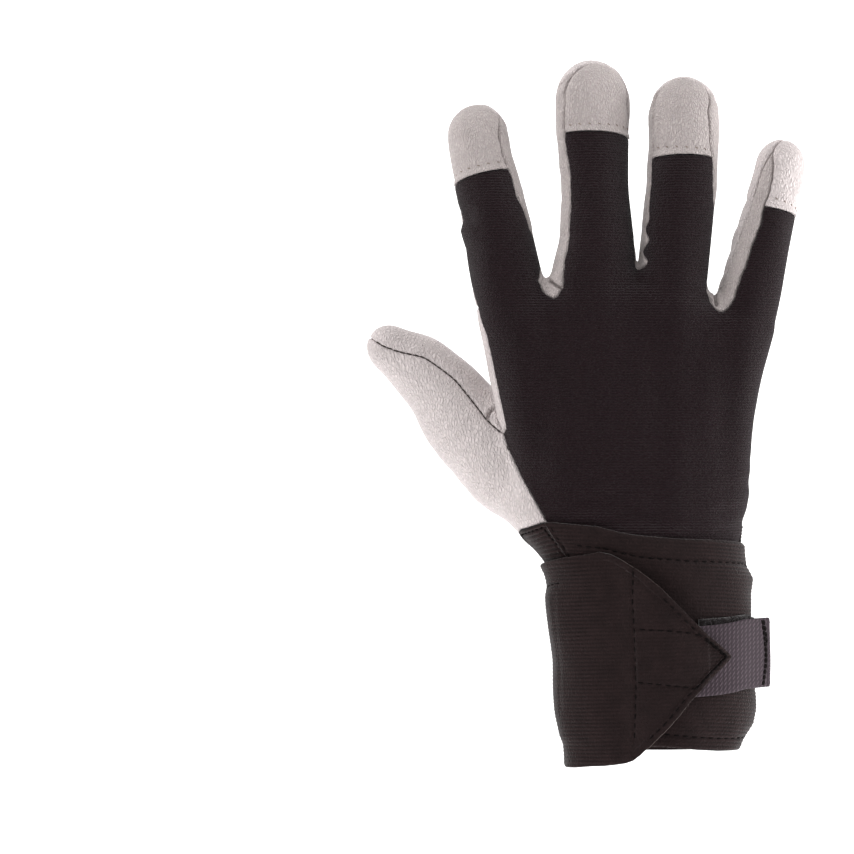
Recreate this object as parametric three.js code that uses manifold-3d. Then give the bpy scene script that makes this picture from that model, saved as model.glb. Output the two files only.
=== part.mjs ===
// Anti-vibration work glove for the right hand, as it stands when worn: leather palm, fingers and thumb,
// stretch-knit back, elastic cuff and a wrist wrap closed with a hook strap.
// Millimetres. +Z points up along the fingers, -Y is the back of the hand, +Y the palm, -X the thumb side.
// The origin is the centre of the wrist opening.
import * as THREE from "three";
import { mergeVertices } from "three/addons/utils/BufferGeometryUtils.js";
import Module from "manifold-3d";

const LEATHER = 1.1; // wall of the goatskin panels
const PALM_PAD = 3; // leather, shock pad and lining of the palm, away from its seams
const FINGER_PAD = 2.2; // and of the fronts of the fingers and the thumb
const PAD_EDGE = 8; // the pad thins out over this far to a seam
const KNIT = 1.1; // wall of the stretch-knit back
const ELASTIC = 1.6; // wall of the cuff and of the wrist wrap
const SEAM_GAP = 0.6; // between two panels that are sewn together
const LAYER_GAP = 0.35; // between layers that lie on each other
const CUFF_GAP = 0.7; // between the cuff and the wrap round it
const SEAM_SHARE = 0.47; // a finger's seams lie this share of its half depth from its middle plane
const CAP_SHARE = 0.58; // and beside the fingertip cap this share
const TIP_SHARE = -0.3; // over the fingertip the one seam lies this share to the back
const TAPER_FROM = 16; // the side strip starts to narrow this far below the fingertip
const TAPER_TO = 5; // and has gone this far below it
const SNAP = 0.15; // a seam that crosses an edge of the form this close to its end goes through the end

// Each ray runs from inside the hand to the tip: centre, half width, half depth and roll in degrees.
const ray = (...rows) =>
  rows.map(([x, y, z, wide, deep, roll]) => ({ x, y, z, wide, deep, roll }));
const FINGERS = {
  index: {
    rows: ray(
      [-38, 0, 92, 7, 7, 0],
      [-46.4, -0.7, 138, 11.4, 11.4, -4],
      [-50.5, -1, 162, 13.4, 13.2, -6],
      [-55.3, 0, 181, 13.2, 12, -10],
      [-60.6, 2, 208, 12.5, 11.3, -14],
      [-64.6, 5.5, 227, 11.2, 10.4, -16],
      [-67.4, 9, 245.7, 11.4, 10.2, -16],
    ),
    cap: 28.3,
    crease: 82,
    creaseBow: 1,
    creaseSlant: 0,
    outer: -1,
  },
  middle: {
    rows: ray(
      [-14, 0, 92, 7, 7, 0],
      [-20.6, -1.6, 140, 11.4, 11.4, 4],
      [-23.2, -2, 170, 16, 13.4, 8],
      [-23.2, -1.4, 181, 16.4, 12.8, 11],
      [-21.8, -0.6, 193, 14, 12.2, 13],
      [-22.4, 2, 214, 12.5, 11.5, 18],
      [-23.6, 6, 238, 13.4, 11.2, 18],
      [-23.3, 9.5, 261.4, 13.6, 10.8, 18],
    ),
    cap: 28.5,
    crease: 76,
    creaseBow: 3,
    creaseSlant: 0,
    outer: 0,
  },
  ring: {
    rows: ray(
      [6, 0, 92, 7, 7, 0],
      [5, -1.6, 138, 11.4, 11.4, 2],
      [5.2, -2, 164, 13.4, 13.2, 3],
      [6, -1, 181, 12.8, 12.2, 4],
      [9, 2, 212, 12.4, 11.3, -3],
      [10.2, 6, 236, 12.9, 11, -7],
      [9.7, 9.5, 255.5, 12.9, 10.6, -7],
    ),
    cap: 31.2,
    crease: 73,
    creaseBow: 3,
    creaseSlant: 0,
    outer: 0,
  },
  little: {
    rows: ray(
      [20, 0, 92, 6, 6, 0],
      [25.8, 0, 134, 9.6, 10, 12],
      [29.6, 0, 156, 11.6, 12, 22],
      [34, 1, 178, 12.2, 11.2, 36],
      [40.2, 3, 203, 10.4, 9.6, 50],
      [43.8, 5.5, 217, 9.8, 9, 55],
      [47.2, 8, 232.6, 9.8, 8.8, 55],
    ),
    cap: 27.4,
    crease: 66,
    creaseBow: 0,
    creaseSlant: -3,
    outer: 1,
  },
};
const THUMB = {
  rows: ray(
    [-33, 6, 91, 12.4, 12, 0],
    [-44, 8, 101.5, 15.6, 14.4, 0],
    [-56, 10.5, 113, 17.6, 15, 0],
    [-62.5, 12, 120, 17, 14.6, 0],
    [-71.5, 13.5, 130, 15.8, 13.2, 0],
    [-79.5, 14, 141, 13.8, 11.8, 0],
    [-89, 13.5, 149.5, 11.6, 10, 0],
    [-98, 12.5, 155.8, 8.6, 7.8, 0],
    [-106.3, 12, 160.4, 8.2, 7, 0],
  ),
};
const THUMB_SEAM = 0.42; // the gusset starts this share of the half width above the thumb's axis

// The hand and cuff, from the hem up: side edges, back and palm side, and how square the section is.
const section = (z, left, right, back, front, square) => ({ z, left, right, back, front, square });
const BODY = [
  section(4, -31, 29.8, -22.4, 22.4, 2.2),
  section(22, -34.2, 33.4, -23.4, 23.4, 2.2),
  section(40, -35.4, 34, -24, 24, 2.2),
  section(58, -37.2, 33.6, -24, 24, 2.2),
  section(72, -38.2, 32.6, -23.2, 23.4, 2.3),
  section(79, -41.2, 30.8, -22.2, 23, 2.3),
  section(88, -49.4, 31, -20.8, 22.4, 2.3),
  section(97, -51, 33.4, -19.6, 22, 2.3),
  section(109, -52.4, 34.4, -18.4, 21, 2.4),
  section(127, -57.2, 35.4, -17, 19.5, 2.5),
  section(145, -60.4, 36.8, -15.8, 17.5, 2.6),
  section(160, -62.4, 39.6, -14.8, 15, 2.6),
  section(170, -63.6, 41.4, -13.2, 12, 2.6),
  section(175.5, -61.6, 39.4, -10, 8.6, 2.5),
  section(178.5, -57, 35, -5, 4, 2.3),
];
// How far the top of the hand stands over its table height, by side position: highest between two fingers.
const WEBS = [[-62, -6], [-42, 2.4], [-24, 6], [-6.5, 6.3], [8, 4], [21.5, -2.4], [40, -14]];
// Where the leather and the knit end at the cuff, by place across the hand.
const CUFF_TOP = {
  palm: [[-46, 84.2], [-34, 89.6]],
  back: [[-60, 84.2], [-52, 87.2], [-42, 91], [-35, 81]],
};
const HEM = 9; // the cuff's lower edge, inside the wrap

// The seam down each side of the hand, where the back meets the palm: height and depth.
const SIDE_SEAM = {
  index: [[90, 4], [115, 2], [126, -6], [160, -7], [182, 0], [245, 1]],
  little: [[90, 6], [125, 5], [160, 5], [182, 2], [245, 1]],
};
// The seam between the hand and the thumb piece, below the thumb's crotch: height, and its side position on
// the back and on the palm.
const THUMB_EDGE = {
  back: [[80, -38], [91, -41], [100, -46], [108, -50.4], [119, -55.5], [124, -57], [140, -60]],
  palm: [[80, -44], [91, -44.8], [108, -46.7], [119, -48.4], [124, -51], [140, -60]],
};
const CROTCH = [117, 129]; // over this height the seam passes from that line to the crotch itself

// The wrist wrap by angle round the wrist: 0 is the back of the hand, 90 the little finger side, 180 the
// palm. It starts on the back by the thumb, goes once round and on over its own start to the point of the tab.
const WRAP = [
  [-53, 12, 72],
  [-44.5, 11.4, 91.2],
  [-36, 10.6, 91],
  [-20, 10.6, 89.4],
  [-4, 10.8, 87],
  [40, 10, 86],
  [70, 9.2, 84.6],
  [90, 8.4, 82.8],
  [110, 7.6, 79.6],
  [135, 6.8, 77],
  [165, 5.6, 75.4],
  [190, 4.4, 74.6],
  [225, 2.6, 73.4],
  [250, 1.4, 73],
  [270, 1, 74],
  [285, 1, 75.6],
  [300, 1.6, 77],
  [315, 2.5, 78.3],
  [325, 3.2, 79.6],
  [336, 4.4, 80.7],
  [343, 5.6, 80.4],
  [348, 8, 78.8],
  [355, 11.4, 74.6],
  [361.5, 15.8, 69.9],
  [374, 26.4, 59.8],
  [386.5, 34.6, 51.3],
  [402.5, 42, 43.2],
].map(([angle, low, high]) => ({ angle, low, high }));
const WRAP_ROWS = [0, 0.25, 0.5, 0.74, 0.88, 1]; // its rows of faces, as shares of its width
const STRAP = { width: 25.4, thick: 1.2, from: 8, to: 54, z: 41.2, rise: 2.2, tongue: 15 };
const PATCH = { width: 27, thick: 1.4, middle: [[22, 42.7], [80, 42], [110, 40.2], [158, 34]] };

const FINGER_SIDES = [-90, -64, -40, -16, 16, 40, 64, 90, 116, 140, 164, 196, 220, 244];
const BODY_SIDES = 28;
const rad = THREE.MathUtils.degToRad;
const { clamp, lerp, smoothstep } = THREE.MathUtils;
const wasm = await Module();
wasm.setup();

// The value at x of a table of [x, value] rows.
function along(table, x) {
  const after = table.findIndex(([at]) => at >= x);
  if (after === 0) return table[0][1];
  if (after < 0) return table[table.length - 1][1];
  const [x0, v0] = table[after - 1];
  const [x1, v1] = table[after];
  return lerp(v0, v1, (x - x0) / (x1 - x0));
}

// The row between the rows of a table of records, by its first key.
function between(rows, key, value) {
  const next = clamp(rows.findIndex((row) => row[key] >= value), 1, rows.length - 1);
  const after = value > rows[rows.length - 1][key] ? rows.length - 1 : next;
  const a = rows[after - 1];
  const b = rows[after];
  const t = clamp((value - a[key]) / (b[key] - a[key]), 0, 1);
  return Object.fromEntries(Object.keys(a).map((k) => [k, lerp(a[k], b[k], t)]));
}

// A finger or the thumb: its axis, and where any point lies beside it.
class Ray {
  constructor({ rows, ...sizes }) {
    Object.assign(this, sizes);
    this.rows = rows.map((row) => ({ ...row, s: 0 }));
    this.rows.forEach((row, i) => {
      const last = this.rows[i - 1];
      row.s = last ? last.s + Math.hypot(row.x - last.x, row.y - last.y, row.z - last.z) : 0;
    });
    this.length = this.rows[this.rows.length - 1].s;
    this.round = this.rows[this.rows.length - 1].wide * 1.15;
  }
  at(s) {
    const row = between(this.rows, "s", s);
    const ahead = between(this.rows, "s", s + 2);
    const behind = between(this.rows, "s", s - 2);
    const d = new THREE.Vector3(ahead.x - behind.x, ahead.y - behind.y, ahead.z - behind.z).normalize();
    const u = new THREE.Vector3(1, 0, 0).addScaledVector(d, -d.x).normalize();
    u.applyAxisAngle(d, rad(row.roll));
    const v = new THREE.Vector3().crossVectors(d, u);
    const past = clamp((s - this.length + this.round) / this.round, 0, 1);
    const share = Math.sqrt(1 - past ** 2.2);
    const centre = new THREE.Vector3(row.x, row.y, row.z);
    return { centre, d, u, v, wide: row.wide * share, deep: row.deep * share, full: row };
  }
  // Station along the axis, sideways and depth place, and about how far outside the surface a point is.
  local(p) {
    let best = { gap: Infinity, s: 0 };
    for (let i = 1; i < this.rows.length; i++) {
      const a = this.rows[i - 1];
      const b = this.rows[i];
      const way = new THREE.Vector3(b.x - a.x, b.y - a.y, b.z - a.z);
      const off = new THREE.Vector3(p.x - a.x, p.y - a.y, p.z - a.z);
      const t = clamp(off.dot(way) / (b.s - a.s) ** 2, 0, 1);
      const gap = off.addScaledVector(way, -t).length();
      if (gap < best.gap) best = { gap, s: a.s + t * (b.s - a.s) };
    }
    const frame = this.at(Math.min(best.s, this.length - 0.8 * this.round));
    const place = this.at(best.s);
    const off = p.clone().sub(place.centre);
    const u = off.dot(frame.u);
    const v = off.dot(frame.v);
    const wide = Math.max(place.wide, 1);
    const deep = Math.max(place.deep, 1);
    const outside = (Math.hypot(u / wide, v / deep) - 1) * Math.min(wide, deep);
    return { s: best.s, u, v, outside, wide: place.full.wide, deep: place.full.deep };
  }
}

const rays = Object.fromEntries(Object.entries(FINGERS).map(([name, sizes]) => [name, new Ray(sizes)]));
const thumb = new Ray(THUMB);

const middle = (points) =>
  points.reduce((sum, p) => sum.add(p), new THREE.Vector3()).divideScalar(points.length);

// A closed solid through rings of points, each end closed by a fan to the ring's middle.
function loft(rings) {
  const points = [];
  const faces = [];
  const n = rings[0].length;
  rings.forEach((ring) => ring.forEach((p) => points.push(p)));
  for (let r = 0; r + 1 < rings.length; r++)
    for (let i = 0; i < n; i++) {
      const a = r * n + i;
      const b = r * n + ((i + 1) % n);
      faces.push([a, b, b + n], [a, b + n, a + n]);
    }
  const bottom = points.push(middle(rings[0])) - 1;
  const top = points.push(middle(rings[rings.length - 1])) - 1;
  const last = (rings.length - 1) * n;
  for (let i = 0; i < n; i++) {
    const j = (i + 1) % n;
    faces.push([bottom, j, i], [top, last + i, last + j]);
  }
  return { points, faces };
}

function toManifold({ points, faces }) {
  const position = new THREE.BufferAttribute(new Float32Array(points.flatMap((p) => [p.x, p.y, p.z])), 3);
  const geometry = new THREE.BufferGeometry().setAttribute("position", position).setIndex(faces.flat());
  const merged = mergeVertices(geometry, 1e-4);
  return new wasm.Manifold(
    new wasm.Mesh({
      numProp: 3,
      vertProperties: merged.attributes.position.array,
      triVerts: new Uint32Array(merged.index.array),
    }),
  );
}

function fromManifold(solid) {
  const { numProp, vertProperties, triVerts } = solid.getMesh();
  const points = [];
  for (let i = 0; i < vertProperties.length; i += numProp)
    points.push(new THREE.Vector3(...vertProperties.slice(i, i + 3)));
  const faces = [];
  for (let i = 0; i < triVerts.length; i += 3) faces.push([...triVerts.slice(i, i + 3)]);
  return { points, faces };
}

// The tube of a finger or of the thumb, round at its tip.
function rayForm(one, from, step) {
  const rings = [];
  const straight = one.length - one.round;
  const bends = one.rows.map((row) => row.s).filter((s) => s > from && s < straight - step / 3);
  const stops = [from, ...bends, straight];
  const stations = stops.flatMap((s, i) => {
    const parts = i ? Math.ceil((s - stops[i - 1]) / step) : 1;
    return i ? Array.from({ length: parts }, (_, k) => lerp(stops[i - 1], s, (k + 1) / parts)) : [s];
  });
  for (const share of [0.4, 0.7, 0.9, 0.98]) stations.push(straight + one.round * share);
  for (const s of stations) {
    const { centre, u, v, wide, deep } = one.at(s);
    rings.push(
      FINGER_SIDES.map((angle) => {
        const side = wide * Math.cos(rad(angle));
        const depth = deep * Math.sin(rad(angle));
        return centre.clone().addScaledVector(u, side).addScaledVector(v, depth);
      }),
    );
  }
  const end = one.at(one.length).centre;
  const form = loft(rings);
  form.points[form.points.length - 1] = end;
  return form;
}

// A point at a height and angle round the hand, some way out from its surface and on along it.
function bodyPoint(z, angle, out = 0, on = 0) {
  const row = between(BODY, "z", z);
  const power = 2 / row.square;
  const spread = (value) => Math.sign(value) * Math.abs(value) ** power;
  const half = (row.right - row.left) / 2;
  const deep = (row.front - row.back) / 2;
  const place = (a) =>
    new THREE.Vector3(
      (row.left + row.right) / 2 + half * spread(Math.sin(a)),
      (row.front + row.back) / 2 - deep * spread(Math.cos(a)),
      z,
    );
  const way = place(angle + 0.02).sub(place(angle - 0.02)).normalize();
  return place(angle).addScaledVector(new THREE.Vector3(way.y, -way.x, 0), out).addScaledVector(way, on);
}

function bodyForm() {
  const top = BODY[BODY.length - 1].z;
  const rings = BODY.map(({ z }) =>
    Array.from({ length: BODY_SIDES }, (_, i) => {
      const p = bodyPoint(z, (2 * Math.PI * i) / BODY_SIDES);
      p.z += along(WEBS, p.x) * smoothstep(z, 145, top);
      return p;
    }),
  );
  return loft(rings);
}

function handForm() {
  const tubes = Object.values(rays).map((one) => toManifold(rayForm(one, 24, 15)));
  const all = [...tubes, toManifold(rayForm(thumb, 2, 15))];
  return fromManifold(all.reduce((sum, tube) => sum.add(tube), toManifold(bodyForm())));
}

// Where a point lies on the glove: how far past each seam, positive on the named side.
function seams(p) {
  const near = Object.entries(rays).map(([name, one]) => ({ name, one, ...one.local(p) }));
  const least = Math.min(...near.map((n) => n.outside));
  let weight = 0;
  const sum = { back: 0, front: 0, crease: 0, cap: 0 };
  for (const n of near) {
    const share = Math.exp(-(n.outside - least) / 2);
    const { one } = n;
    const left = one.length - n.s;
    const narrow = smoothstep(left, TAPER_TO, TAPER_FROM);
    const inner = one.outer ? smoothstep(-one.outer * n.u, -n.wide / 2, n.wide / 2) : 1;
    const single = lerp(TIP_SHARE * n.deep, one.outer ? along(SIDE_SEAM[n.name], p.z) : 0, narrow);
    const tip = TIP_SHARE * n.deep;
    const besideCap = smoothstep(one.cap - left, -4, 8);
    const backSeam = lerp(tip, -lerp(SEAM_SHARE, CAP_SHARE, besideCap) * n.deep, narrow);
    const frontSeam = lerp(tip, SEAM_SHARE * n.deep, narrow);
    const crease = one.crease + one.creaseBow * (n.u / n.wide) ** 2 + (one.creaseSlant * n.u) / n.wide;
    weight += share;
    sum.back += share * (lerp(single, backSeam, inner) - n.v);
    sum.front += share * (n.v - lerp(single, frontSeam, inner));
    sum.crease += share * (n.s - crease);
    sum.cap += share * (n.s - one.length + one.cap);
  }
  for (const key of Object.keys(sum)) sum[key] /= weight;
  const onThumb = thumb.local(p);
  const body = between(BODY, "z", p.z);
  const half = (body.right - body.left) / 2;
  const deep = (body.front - body.back) / 2;
  const across = (p.x - (body.left + body.right) / 2) / half;
  const onBody = (Math.hypot(across, (p.y - (body.front + body.back) / 2) / deep) - 1) * deep;
  const palmSide = smoothstep(p.y, -6, 2);
  const line = lerp(along(THUMB_EDGE.back, p.z), along(THUMB_EDGE.palm, p.z), palmSide) - p.x;
  const fork = Math.min(onBody, least) - onThumb.outside;
  const thumbSide = lerp(line, fork, smoothstep(p.z, ...CROTCH));
  const cuffTop = lerp(along(CUFF_TOP.back, p.x), along(CUFF_TOP.palm, p.x), palmSide);
  return {
    ...sum,
    nearest: Object.fromEntries(near.map((n) => [n.name, n.outside])),
    side: Object.fromEntries(near.map((n) => [n.name, n.u])),
    thumb: thumbSide,
    gusset: onThumb.u - THUMB_SEAM * onThumb.wide * smoothstep(thumb.length - onThumb.s, 4, 22),
    hand: p.z - cuffTop,
    hem: p.z - HEM,
  };
}

// Averages the faces' directions at each corner.
function withNormals(form) {
  const normals = form.points.map(() => new THREE.Vector3());
  for (const [a, b, c] of form.faces) {
    const [pa, pb, pc] = [a, b, c].map((i) => form.points[i]);
    const n = pb.clone().sub(pa).cross(pc.clone().sub(pa)).normalize();
    [[a, pb, pc, pa], [b, pc, pa, pb], [c, pa, pb, pc]].forEach(([i, next, last, here]) => {
      const angle = next.clone().sub(here).angleTo(last.clone().sub(here));
      normals[i].addScaledVector(n, angle);
    });
  }
  return { ...form, normals: normals.map((n) => n.normalize()) };
}

// Cuts an open patch along the line where the rule is zero, into the part above it and the part below.
function split(patch, rule) {
  const points = [...patch.points];
  const normals = [...patch.normals];
  const value = points.map((p) => rule(seams(p)));
  const crossing = (a, b) => {
    const t = value[a] / (value[a] - value[b]);
    const mid = rule(seams(points[a].clone().lerp(points[b], t)));
    const [v0, v1, t0, t1] = mid > 0 === value[a] > 0 ? [mid, value[b], t, 1] : [value[a], mid, 0, t];
    return lerp(t0, t1, v0 / (v0 - v1));
  };
  const across = (a, b) => value[a] * value[b] < 0;
  const edges = patch.faces.flatMap(([a, b, c]) => [[a, b], [b, c], [c, a]]);
  // A corner that the line passes close by is taken as lying on it.
  for (const [a, b] of edges)
    if (across(a, b)) {
      const t = crossing(a, b);
      if (t < SNAP) value[a] = 0;
      if (t > 1 - SNAP) value[b] = 0;
    }
  const made = new Map();
  const cut = (i, j) => {
    const [a, b] = i < j ? [i, j] : [j, i];
    const key = a + "_" + b;
    if (!made.has(key)) {
      const t = clamp(crossing(a, b), SNAP, 1 - SNAP);
      normals.push(normals[a].clone().lerp(normals[b], t).normalize());
      made.set(key, points.push(points[a].clone().lerp(points[b], t)) - 1);
    }
    return made.get(key);
  };
  const above = [];
  const below = [];
  for (const face of patch.faces) {
    const signs = face.map((i) => Math.sign(value[i]));
    const highs = signs.filter((sign) => sign > 0).length;
    const lows = signs.filter((sign) => sign < 0).length;
    if (!highs || !lows) {
      const flat = highs + lows ? highs - lows : rule(seams(middle(face.map((i) => points[i]))));
      (flat > 0 ? above : below).push(face);
      continue;
    }
    const lone = highs === lows ? signs.indexOf(0) : signs.indexOf(highs < lows ? 1 : -1);
    const [a, b, c] = [0, 1, 2].map((k) => face[(lone + k) % 3]);
    if (highs === lows) {
      const m = cut(b, c);
      (value[b] > 0 ? above : below).push([a, b, m]);
      (value[c] > 0 ? above : below).push([a, m, c]);
    } else {
      const [one, two] = value[a] > 0 ? [above, below] : [below, above];
      const ab = value[b] ? cut(a, b) : b;
      const ca = value[c] ? cut(c, a) : c;
      one.push([a, ab, ca]);
      if (value[b]) two.push([ab, b, c]);
      if (value[c]) two.push([ab, c, ca]);
    }
  }
  return [above, below].map((faces) => ({ points, normals, faces }));
}

// The largest connected stretch of a patch.
function largest(patch) {
  const parent = patch.points.map((_, i) => i);
  const find = (i) => {
    while (parent[i] !== i) i = parent[i] = parent[parent[i]];
    return i;
  };
  for (const [a, b, c] of patch.faces) {
    parent[find(a)] = find(b);
    parent[find(b)] = find(c);
  }
  const count = new Map();
  for (const [a] of patch.faces) count.set(find(a), (count.get(find(a)) || 0) + 1);
  const [most] = [...count].sort((x, y) => y[1] - x[1])[0];
  return { ...patch, faces: patch.faces.filter(([a]) => find(a) === most) };
}

// A closed wall: the patch drawn in from its edges by half the seam gap, its copy set in by the thickness at
// each corner, and a rim between the two.
function wall(patch, thickness) {
  const used = new Map();
  const corners = [];
  for (const i of patch.faces.flat()) if (!used.has(i)) used.set(i, corners.push(i) - 1);
  const outer = patch.faces.map((face) => face.map((i) => used.get(i)));
  const edges = new Map();
  for (const [a, b, c] of outer)
    for (const [i, j] of [[a, b], [b, c], [c, a]]) edges.set(i + "_" + j, [i, j]);
  const rims = [...edges.values()].filter(([i, j]) => !edges.has(j + "_" + i));
  const drawn = corners.map(() => []);
  for (const [i, j] of rims)
    for (const k of [i, j]) {
      const way = patch.points[corners[j]].clone().sub(patch.points[corners[i]]);
      drawn[k].push(patch.normals[corners[k]].clone().cross(way).normalize());
    }
  const points = corners.map((i, k) => {
    const p = patch.points[i].clone();
    if (!drawn[k].length) return p;
    const way = middle(drawn[k]);
    return p.addScaledVector(way, SEAM_GAP / 2 / Math.max(way.lengthSq(), 0.5));
  });
  const inner = corners.map((i, k) => {
    const p = points[k];
    return p.clone().addScaledVector(patch.normals[i], -thickness(p));
  });
  const n = points.length;
  const faces = [...outer, ...outer.map(([a, b, c]) => [a + n, c + n, b + n])];
  for (const [i, j] of rims) faces.push([j, i, i + n], [j, i + n, j + n]);
  return { points: [...points, ...inner], faces };
}

const material = (color, roughness) => new THREE.MeshStandardMaterial({ color, roughness, metalness: 0 });
const leather = material(0xcbc1c0, 0.55);
const knit = material(0x241b1e, 0.85);
const elastic = material(0x352b2a, 0.9);
const webbing = material(0x5e545a, 0.75);
const pile = material(0x262022, 1);

const glove = new THREE.Group();
function addPiece(name, form, look) {
  const position = new Float32Array(form.points.flatMap((p) => [p.x, p.y, p.z]));
  const geometry = new THREE.BufferGeometry();
  geometry.setAttribute("position", new THREE.BufferAttribute(position, 3));
  geometry.setIndex(form.faces.flat());
  geometry.computeVertexNormals();
  const mesh = new THREE.Mesh(geometry, look);
  mesh.name = name;
  glove.add(mesh);
}

const names = Object.keys(rays);
const nearer = (name, others) => (q) => Math.min(...others.map((o) => q.nearest[o])) - q.nearest[name];

// The form is cut along one seam after another, so that two panels share the line they are sewn on.
const [worn] = split(withNormals(handForm()), (q) => q.hem);
const [skin, cuff] = split(worn, (q) => q.hand);
const [thumbSkin, handSkin] = split(skin, (q) => q.thumb);
const [gusset, thumbMain] = split(thumbSkin, (q) => q.gusset);
const [backSkin, palmSkin] = split(handSkin, (q) => q.back);
const [frontSkin, sideSkin] = split(palmSkin, (q) => q.front);
const [fronts, palm] = split(frontSkin, (q) => q.crease);
const [caps, back] = split(backSkin, (q) => q.cap);

// One panel, thin at its seams and as thick as its pad away from them.
function addPanel(name, patch, look, edgeWall, padWall = edgeWall, inside = () => 0) {
  const thickness = (p) => lerp(edgeWall, padWall, smoothstep(inside(seams(p)), 0, PAD_EDGE));
  addPiece(name, wall(largest(patch), thickness), look);
}

const inPalm = (q) => Math.min(q.hand, -q.thumb, q.front, -q.crease);
const inThumb = (q) => Math.min(q.hand, q.thumb, -q.gusset);
const inFront = (q) => Math.min(q.crease, q.front);
addPanel("palm", palm, leather, LEATHER, PALM_PAD, inPalm);
addPanel("back", back, knit, KNIT);
addPanel("thumb_main", thumbMain, leather, LEATHER, FINGER_PAD, inThumb);
addPanel("thumb_gusset", gusset, leather, LEATHER);
addPanel("cuff", cuff, elastic, ELASTIC);
let [frontsLeft, capsLeft, sidesLeft] = [fronts, caps, sideSkin];
names.forEach((name, i) => {
  const later = names.slice(i + 1);
  const own = later.length ? nearer(name, later) : () => 1;
  const [front, otherFronts] = split(frontsLeft, own);
  const [cap, otherCaps] = split(capsLeft, own);
  addPanel("front_" + name, front, leather, LEATHER, FINGER_PAD, inFront);
  addPanel("cap_" + name, cap, leather, LEATHER);
  [frontsLeft, capsLeft] = [otherFronts, otherCaps];
  if (!later.length) return;
  const [right, ...beyond] = later;
  const rightSide = beyond.length ? nearer(right, beyond) : () => 1;
  const facing = (q) => Math.max(own(q), Math.min(rightSide(q), -q.side[right]));
  const [strip, otherSides] = beyond.length ? split(sidesLeft, facing) : [sidesLeft];
  addPanel("fourchette_" + name + "_" + right, strip, leather, LEATHER);
  sidesLeft = otherSides;
});

// A band round the wrist: columns by angle, each from its low to its high edge, some way out from the hand.
function band(columns, shares, thickness) {
  const outer = [];
  const inner = [];
  for (const { angle, low, high, out, on } of columns)
    for (const share of shares) {
      const z = lerp(low, high, share);
      outer.push(bodyPoint(z, rad(angle), out + thickness, on));
      inner.push(bodyPoint(z, rad(angle), out, on));
    }
  const n = outer.length;
  const wide = shares.length;
  const faces = [];
  const quad = (a, b, c, d) => faces.push([a, b, c], [a, c, d]);
  for (let a = 0; a + wide < n; a += wide) {
    for (let k = a; k < a + wide - 1; k++) {
      quad(k, k + wide, k + wide + 1, k + 1);
      quad(k + n, k + n + 1, k + n + wide + 1, k + n + wide);
    }
    const high = a + wide - 1;
    quad(a, a + n, a + n + wide, a + wide);
    quad(high, high + wide, high + wide + n, high + n);
  }
  for (let k = 0; k < wide - 1; k++) {
    const last = n - wide + k;
    quad(k, k + 1, k + 1 + n, k + n);
    quad(last, last + n, last + 1 + n, last + 1);
  }
  return { points: [...outer, ...inner], faces };
}

const ON_CUFF = CUFF_GAP;
const ON_WRAP = ON_CUFF + ELASTIC + LAYER_GAP;
const ON_PATCH = ON_WRAP + PATCH.thick + LAYER_GAP;
const OVER_STRAP = ON_PATCH + STRAP.thick + LAYER_GAP;

function stations(from, to, step) {
  const count = Math.ceil((to - from) / step);
  return Array.from({ length: count + 1 }, (_, i) => lerp(from, to, i / count));
}

function wristWrap() {
  const columns = stations(WRAP[0].angle, WRAP[WRAP.length - 1].angle, 9.5).map((angle) => {
    const lifted = smoothstep(angle, 262, 298);
    const strapped = smoothstep(angle, 338, 366);
    const out = lerp(lerp(ON_CUFF, ON_WRAP, lifted), OVER_STRAP, strapped);
    return { ...between(WRAP, "angle", angle), out, on: 0 };
  });
  return band(columns, WRAP_ROWS, ELASTIC);
}

// The hook strap lies on the loop patch, and its end runs on straight past the side of the wrist.
function hookStrap() {
  const place = (angle, on) => {
    const z = STRAP.z + STRAP.rise * ((angle - STRAP.from) / (STRAP.to - STRAP.from)) ** 2;
    return { angle, low: z - STRAP.width / 2, high: z + STRAP.width / 2, out: ON_PATCH, on };
  };
  const lying = stations(STRAP.from, STRAP.to, 9).map((angle) => place(angle, 0));
  return band([...lying, place(STRAP.to, STRAP.tongue)], [0, 0.5, 1], STRAP.thick);
}

function loopPatch() {
  const [from, to] = [PATCH.middle[0][0], PATCH.middle[PATCH.middle.length - 1][0]];
  const columns = stations(from, to, 9.5).map((angle) => {
    const z = along(PATCH.middle, angle);
    return { angle, low: z - PATCH.width / 2, high: z + PATCH.width / 2, out: ON_WRAP, on: 0 };
  });
  return band(columns, [0, 0.33, 0.67, 1], PATCH.thick);
}

addPiece("wrist_wrap", wristWrap(), elastic);
addPiece("hook_strap", hookStrap(), webbing);
addPiece("loop_patch", loopPatch(), pile);

export default glove;
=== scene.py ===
"""Builds the looks of a right-hand anti-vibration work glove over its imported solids.

The sewn part of the glove is one soft form, worked out as a distance field from the same tables as the
solids, meshed, cut along its seams into panels, and given walls, rolled edges and folds. The wrist wrap, the
hook strap and the loop patch are bands laid round the wrist. Working sizes are in millimetres.
"""
import math
from functools import lru_cache

import bpy
import numpy as np
from bpy.props import FloatProperty, FloatVectorProperty, PointerProperty
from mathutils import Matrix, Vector, kdtree


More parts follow.
